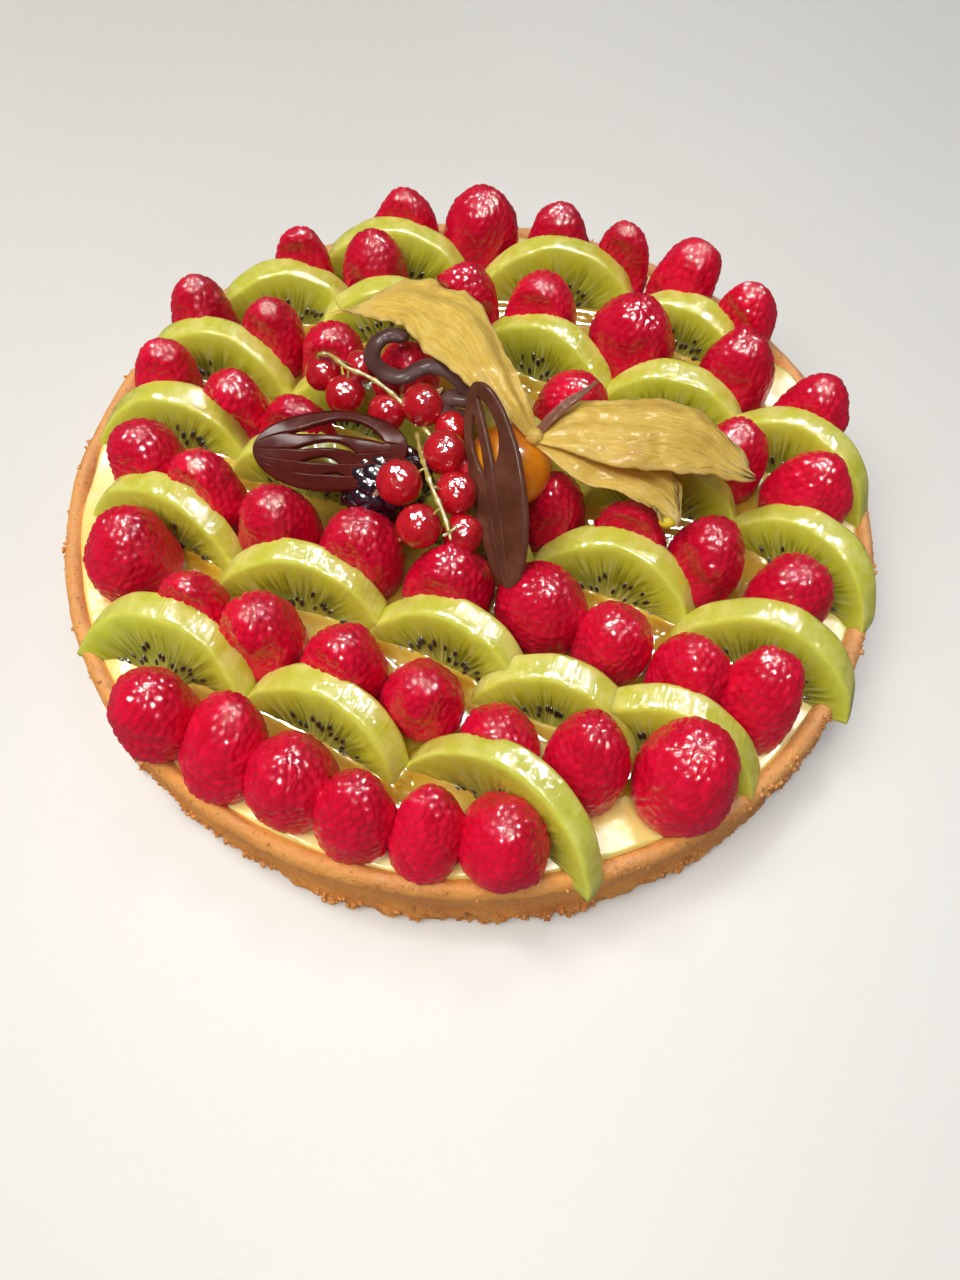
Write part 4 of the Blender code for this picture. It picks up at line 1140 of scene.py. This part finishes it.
lobes = [husk_lobe(lobe + np.r_[husk_low, 0, 0, 0], mood, 120 + n) for n, (lobe, mood) in enumerate(zip(HUSK_LOBES, HUSK_MOODS))]
TENDRIL = np.array([(3.3, 59.8, 1.7), (1.3, 59.2, 2.1), (-0.4, 60.6, 3.1), (-1.2, 62.6, 3.9), (-1.1, 65, 4.9)]) * MM
TIP = np.array([(3.2, 59.9, 1.6), (0.3, 59.2, 1.1), (-2.2, 58.8, 0.8)]) * MM
for wisp, width in ((TENDRIL, 0.55), (TIP, 1.3)):
    line = curve(wisp + husk_low, 24)
    taper = np.linspace(1, 0.35, 24)
    points, triangles = strand(line, width * MM * taper, 0.45 * MM * taper, 8)
    ones = np.ones(len(points))
    lobes.append((points, triangles, {"vein": 0 * ones, "edge": 0.8 * ones, "shade": 0 * ones, "run": points * 20}))
points, triangles = globe(14, 20)
ones = np.ones(len(points))
# The joint is darkened by painted shade.
joint = points * (2.2 * MM, 2.2 * MM, 1.7 * MM) + HUSK_JOINT
lobes.append((joint, triangles, {"vein": 0 * ones, "edge": 0 * ones, "shade": 0.5 * ones, "run": points}))
# A shade value of -1 gives the bud its own yellow colour.
bud = points * (1.9 * MM, 1.3 * MM, 1.2 * MM) + husk_low + np.array((79.5, 1.4, 0.6)) * MM
lobes.append((bud, triangles, {"vein": 0 * ones, "edge": 0 * ones, "shade": -1 * ones, "run": points}))

paper = Look("physalis_husk", Roughness=0.5)
stretch = paper.add("Mapping", {"Vector": paper.add("Attribute", attribute_name="run").outputs["Vector"], "Scale": (5, 1.6, 1)})
streaks = paper.add("TexNoise", {"Vector": stretch.outputs[0], "Scale": 3.0, "Detail": 4}).outputs["Fac"]
net = paper.add("TexVoronoi", {"Vector": stretch.outputs[0], "Scale": 5.0}, feature="DISTANCE_TO_EDGE").outputs["Distance"]
net = paper.step(net, 0.05, 0.0, 0, 1)
colour = paper.ramp(streaks, (0.25, (0.64, 0.38, 0.055)), (0.50, (0.78, 0.51, 0.10)), (0.75, (0.88, 0.64, 0.18)))
colour = paper.mix(paper.step(paper.field("edge"), 0.80, 1.0, 0, 0.35), colour, (0.80, 0.60, 0.26))
colour = paper.mix(paper.step(paper.field("vein"), 0.3, 1, 0, 0.2), colour, (0.48, 0.27, 0.04))
colour = paper.mix(paper.math("MULTIPLY", net, 0.08), colour, (0.45, 0.26, 0.05))
colour = paper.mix(paper.step(paper.noise(7 * MM, 3), 0.45, 0.75, 0, 0.55), colour, (0.52, 0.29, 0.05))
# Painted shade: the lobes, the joint and most of all the fold seen edge on are darkened as much as their shade value
# says; -1 gives the bud its own yellow.
shade = paper.field("shade")
colour = paper.mix(paper.step(shade, 0.0, 0.7, 0, 0.5), colour, (0.42, 0.30, 0.06))
colour = paper.mix(paper.step(shade, 0.7, 1.0), colour, (0.20, 0.08, 0.045))
colour = paper.mix(paper.step(shade, -0.3, -0.9), colour, (0.75, 0.55, 0.03))
fine = paper.bump(paper.noise(0.9 * MM, 4), 0.25 * MM, 0.6)
husk_look = paper.finish(
    Base_Color=colour, Subsurface_Weight=0.35, Subsurface_Scale=2 * MM, Subsurface_Radius=(1.0, 0.7, 0.3),
    Normal=paper.bump(streaks, 0.10 * MM, 0.5, after=fine), Specular_IOR_Level=0.05, Coat_Weight=0.04, Coat_Roughness=0.14,
    Roughness=paper.step(streaks, 0.3, 0.7, 0.42, 0.6),
)
made = piece("husk", *gathered(lobes), husk_look)
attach(made, "root")
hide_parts("physalis_husk")


# ---- Chocolate plates and curl ---------------------------------------------------------------------
# Dark chocolate cast thin in moulds: an oval and a longer blade, each pierced by narrow slits, and
# a hooked curl piped in one strip. Satin on top, with rounded edges that carry a painted highlight.

PLATE_THICKNESS = 1.6 * MM
# Each plate: its node, direction along, direction across, half length and half width in
# millimetres, and its slits: start, end, and bow of the upper and lower edge, in half sizes.
PLATES = [
    ("chocolate_oval", (35, -0.5, 3.5), (-1.5, 17.5, 6), 17.8, 9.5, 1.5, [
        ((-0.60, 0.42), (0.72, 0.12), 0.50, 0.10), ((-0.58, 0.00), (0.36, -0.12), 0.26, 0.10),
        ((-0.42, -0.30), (0.14, -0.38), 0.16, 0.02), ((-0.15, -0.62), (0.22, -0.66), 0.07, 0.02),
    ]),
    ("chocolate_wing", (9.3, -36.3, -22), (0.71, -0.15, 0.69), 22.6, 7.6, 1.0, [
        ((-0.88, -0.05), (-0.15, 0.10), 0.42, 0.02), ((-0.72, -0.30), (-0.10, -0.28), 0.02, -0.30),
    ]),
]
PLATE_ROWS = 120


def plate(node, along_, across_, half_length, half_width, late, slits):
    """A pierced plate as strips that lie side by side between its slits.

    The outline is an oval, half width times the root of 1 - u squared. A slit's edges bow by
    4 bow w (1 - w) from the line between its ends, where w is its share of the way to a power;
    beyond its ends it is a closed seam. Each strip's section is a rectangle with round edges.
    """
    low, high = (np.array(corner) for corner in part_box(node))
    x_axis = np.array(along_, float) / np.linalg.norm(along_)
    y_axis = np.array(across_, float) - x_axis * (x_axis @ np.array(across_, float))
    y_axis /= np.linalg.norm(y_axis)
    z_axis = np.cross(x_axis, y_axis)
    u = -np.cos(np.linspace(0.03, math.pi - 0.03, PLATE_ROWS))
    rim = np.sqrt(1 - u**2)
    edges, opens = [rim], [np.ones_like(u)]
    for (u0, v0), (u1, v1), upper, lower in slits:
        share = np.clip((u - u0) / (u1 - u0), 0, 1)
        line = v0 + (v1 - v0) * share
        ends = np.where(u < u0, math.sqrt(1 - u0**2), math.sqrt(1 - u1**2))
        line = np.where((u < u0) | (u > u1), line * rim / ends, line)
        bow = 4 * share**late * (1 - share**late)
        edges += [line + upper * bow, line + lower * bow]
        opens += [smooth(np.abs(upper - lower) * bow, 0.0, 0.09)] * 2
    edges, opens = edges + [-rim], opens + [np.ones_like(u)]
    turn = np.linspace(0, math.pi, 7)
    closed_round = 0.02 if late > 1.2 else 0.25
    shapes = []
    for top, bottom, top_open, bottom_open in zip(edges[::2], edges[1::2], opens[::2], opens[1::2]):
        span = np.maximum(top - bottom, 0.01) * half_width * MM
        round_top = np.minimum(0.55 * MM * np.maximum(top_open, closed_round), span * 0.4)[:, None]
        round_bottom = np.minimum(0.55 * MM * np.maximum(bottom_open, closed_round), span * 0.4)[:, None]
        middle = ((top + bottom) / 2 * half_width * MM)[:, None]
        half = span[:, None] / 2 + 0.06 * MM
        flat = np.linspace(-1, 1, 9)[None]
        upper_v = middle + half - round_top + round_top * np.sin(turn)[None]
        upper_z = PLATE_THICKNESS / 2 * np.cos(turn)[None] + 0 * middle
        lower_v = middle - half + round_bottom - round_bottom * np.sin(turn)[None]
        face_v = middle + (half - (round_top + round_bottom) / 2) * flat[:, 1:-1] + (round_bottom - round_top) / 2
        v = np.concatenate([upper_v, face_v[:, ::-1], lower_v, face_v], 1)
        face_z = PLATE_THICKNESS / 2 + 0 * face_v
        z = np.concatenate([upper_z, -face_z, -upper_z, face_z], 1)
        long = u[:, None] * half_length * MM + 0 * v
        # The edge field is 1 on the rounded edges, where the painted highlight goes.
        edge = np.concatenate([np.sin(turn)[None] + 0 * upper_z, 0 * face_v, np.sin(turn)[None] + 0 * upper_z, 0 * face_v], 1)
        flex = np.stack([long, v, 0 * v], -1)
        ridges = 0.16 * MM * np.cos(v / (0.9 * MM) + 2 * drift(flex, 8 * MM, 140)) * smooth(long, -2 * MM, 8 * MM)
        z = z + 0.30 * MM * drift(flex, 7 * MM, 141) + 0.012 * MM * drift(flex, 1.5 * MM, 142) + ridges * (late < 1.2)
        z = z - 0.9 * MM * (v / (half_width * MM)) ** 2
        points = long[..., None] * x_axis + v[..., None] * y_axis + z[..., None] * z_axis + (low + high) / 2
        made = closed(np.concatenate([points, edge[..., None]], -1))
        shapes.append((made[:, :3], skin(PLATE_ROWS, v.shape[1]), {"edge": made[:, 3]}))
    return gathered(shapes)


def chocolate(name, deep, light, sheen):
    """Satin chocolate from deep to light, with a painted highlight along its edges, and a faint bloom."""
    cast = Look(name, Roughness=0.4, Specular_IOR_Level=sheen, Coat_Weight=0.04, Coat_Roughness=0.16)
    colour = cast.mix(cast.step(cast.noise(9 * MM, 3), 0.35, 0.7), deep, light)
    # Painted highlight: the rounded edges are mixed toward a lighter brown.
    colour = cast.mix(cast.step(cast.field("edge"), 0.5, 1.0, 0, 0.25), colour, tuple(2.0 * c for c in light))
    bloom = cast.step(cast.noise(3 * MM, 4), 0.55, 0.8, 0, 0.2)
    colour = cast.mix(bloom, colour, tuple(1.6 * c for c in light))
    return cast.finish(
        Base_Color=colour, Roughness=cast.step(cast.noise(4 * MM, 3), 0.3, 0.7, 0.30, 0.45),
        Normal=cast.bump(cast.noise(1.8 * MM, 3), 0.15 * MM, 0.5),
    )


oval_look = chocolate("chocolate_red_brown", (0.075, 0.009, 0.007), (0.105, 0.016, 0.011), 0.0)
wing_look = chocolate("chocolate_brown", (0.092, 0.029, 0.016), (0.15, 0.055, 0.034), 0.04)
for plate_sizes, look in zip(PLATES, (oval_look, wing_look)):
    made = piece(plate_sizes[0] + "_plate", *plate(*plate_sizes), look)
    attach(made, "root")
    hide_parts(plate_sizes[0])

curl_low = np.array(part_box("chocolate_curl")[0])
CURL = np.array([
    (10, 23.2, 4.2), (6.1, 23.9, 4.2), (3.1, 22.1, 4.2), (1.7, 18.6, 4.2), (2.3, 14.4, 4.7),
    (5.1, 10.9, 5.4), (9.5, 8.9, 6.2), (12.9, 10.7, 6.7), (15.8, 12.2, 6.7), (19.1, 11.7, 6.7),
    (22.3, 9.7, 6.2), (24.9, 7.5, 4.7), (24.7, 5.7, 3.5), (21.5, 6.3, 2.9), (19.5, 5.5, 2.1),
    (19.9, 2.7, 1.5), (22.1, 1.7, 1.5), (25.5, 1.7, 1.7),
]) * MM
line = curve(CURL + curl_low, 180)
swell = 1 + 0.12 * drift(line, 9 * MM, 150)
points, triangles = strand(line, 4.4 * MM * swell, 2.6 * MM * swell, 20)
points = points + 0.12 * MM * drift(points, 1.6 * MM, 151)[:, None]
curl_look = chocolate("chocolate_grey_brown", (0.075, 0.030, 0.026), (0.13, 0.065, 0.058), 0.05)
made = piece("curl", points, triangles, {"edge": np.zeros(len(points))}, curl_look)
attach(made, "root")
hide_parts("chocolate_curl")


# ---- Floor, light and camera ----------------------------------------------------------------
# A plain pale floor, one wide soft light, and a few small ones that the wet fruit mirrors.

floor_look = Look("floor", Roughness=0.6)
colour = floor_look.mix(floor_look.step(floor_look.noise(0.3, 2), 0.4, 0.6), (0.64, 0.64, 0.63), (0.67, 0.67, 0.66))
floor_look.finish(Base_Color=colour)
floor_points = np.array([(-3, -3, -0.0002), (3, -3, -0.0002), (3, 3, -0.0002), (-3, 3, -0.0002)])
mesh = bpy.data.meshes.new("floor")
mesh.from_pydata(floor_points.tolist(), [], [(0, 1, 2, 3)])
mesh.materials.append(floor_look.material)
floor = bpy.data.objects.new("floor", mesh)
bpy.context.scene.collection.objects.link(floor)
floor.visible_glossy = False


def area_light(name, place, aim, size, power, colour, mirrored):
    """A square light at a place, turned to face another, either mirrored by gloss or lighting."""
    light = bpy.data.lights.new(name, "AREA")
    light.size, light.energy, light.color = size, power, colour
    lamp = bpy.data.objects.new(name, light)
    lamp.location = place
    away = np.array(place) - np.array(aim)
    turn = math.atan2(away[0], -away[1])
    lamp.rotation_euler = (math.acos(away[2] / np.linalg.norm(away)), 0, turn)
    lamp.visible_glossy, lamp.visible_diffuse = mirrored, not mirrored
    bpy.context.scene.collection.objects.link(lamp)


area_light("soft", (-0.35, -0.2, 1.1), (0, 0, 0), 1.0, 16, (1.0, 0.965, 0.90), False)
area_light("small_front", (0.05, -0.35, 1.0), (0, 0, 0), 0.15, 20, (1.0, 0.98, 0.95), True)
area_light("small_left", (-0.35, 0.15, 0.9), (0, 0, 0), 0.14, 17, (1.0, 0.97, 0.92), True)
area_light("small_back", (0.10, 0.50, 0.95), (0, 0, 0), 0.15, 17, (1.0, 0.98, 0.96), True)
area_light("small_right", (0.42, 0.2, 0.9), (0, 0, 0), 0.12, 14, (0.92, 0.95, 1.0), True)

world = bpy.data.worlds.new("world")
world.use_nodes = True
world.node_tree.nodes["Background"].inputs["Color"].default_value = (0.95, 0.97, 1.0, 1)
world.node_tree.nodes["Background"].inputs["Strength"].default_value = 0.10
bpy.context.scene.world = world
bpy.context.scene.view_settings.view_transform = "Standard"

# The camera stands in front of the tart and looks down on it, a little turned about its own axis.
PITCH, ROLL = math.radians(61.96), math.radians(2.99)
forward = np.array([0, math.cos(PITCH), -math.sin(PITCH)])
above = np.array([0, math.sin(PITCH), math.cos(PITCH)])
right = np.array([1.0, 0, 0])
rolled_right = math.cos(ROLL) * right + math.sin(ROLL) * above
rolled_up = -math.sin(ROLL) * right + math.cos(ROLL) * above
camera_data = bpy.data.cameras.new("camera")
camera_data.sensor_width = 36
camera_data.lens = 28.125
camera_data.dof.use_dof = False
camera = bpy.data.objects.new("camera", camera_data)
matrix = np.eye(4)
matrix[:3, 0], matrix[:3, 1], matrix[:3, 2] = rolled_right, rolled_up, -forward
matrix[:3, 3] = (0.00365, -0.149, 0.2238)
camera.matrix_world = Matrix(matrix.tolist())
bpy.context.scene.collection.objects.link(camera)
bpy.context.scene.camera = camera
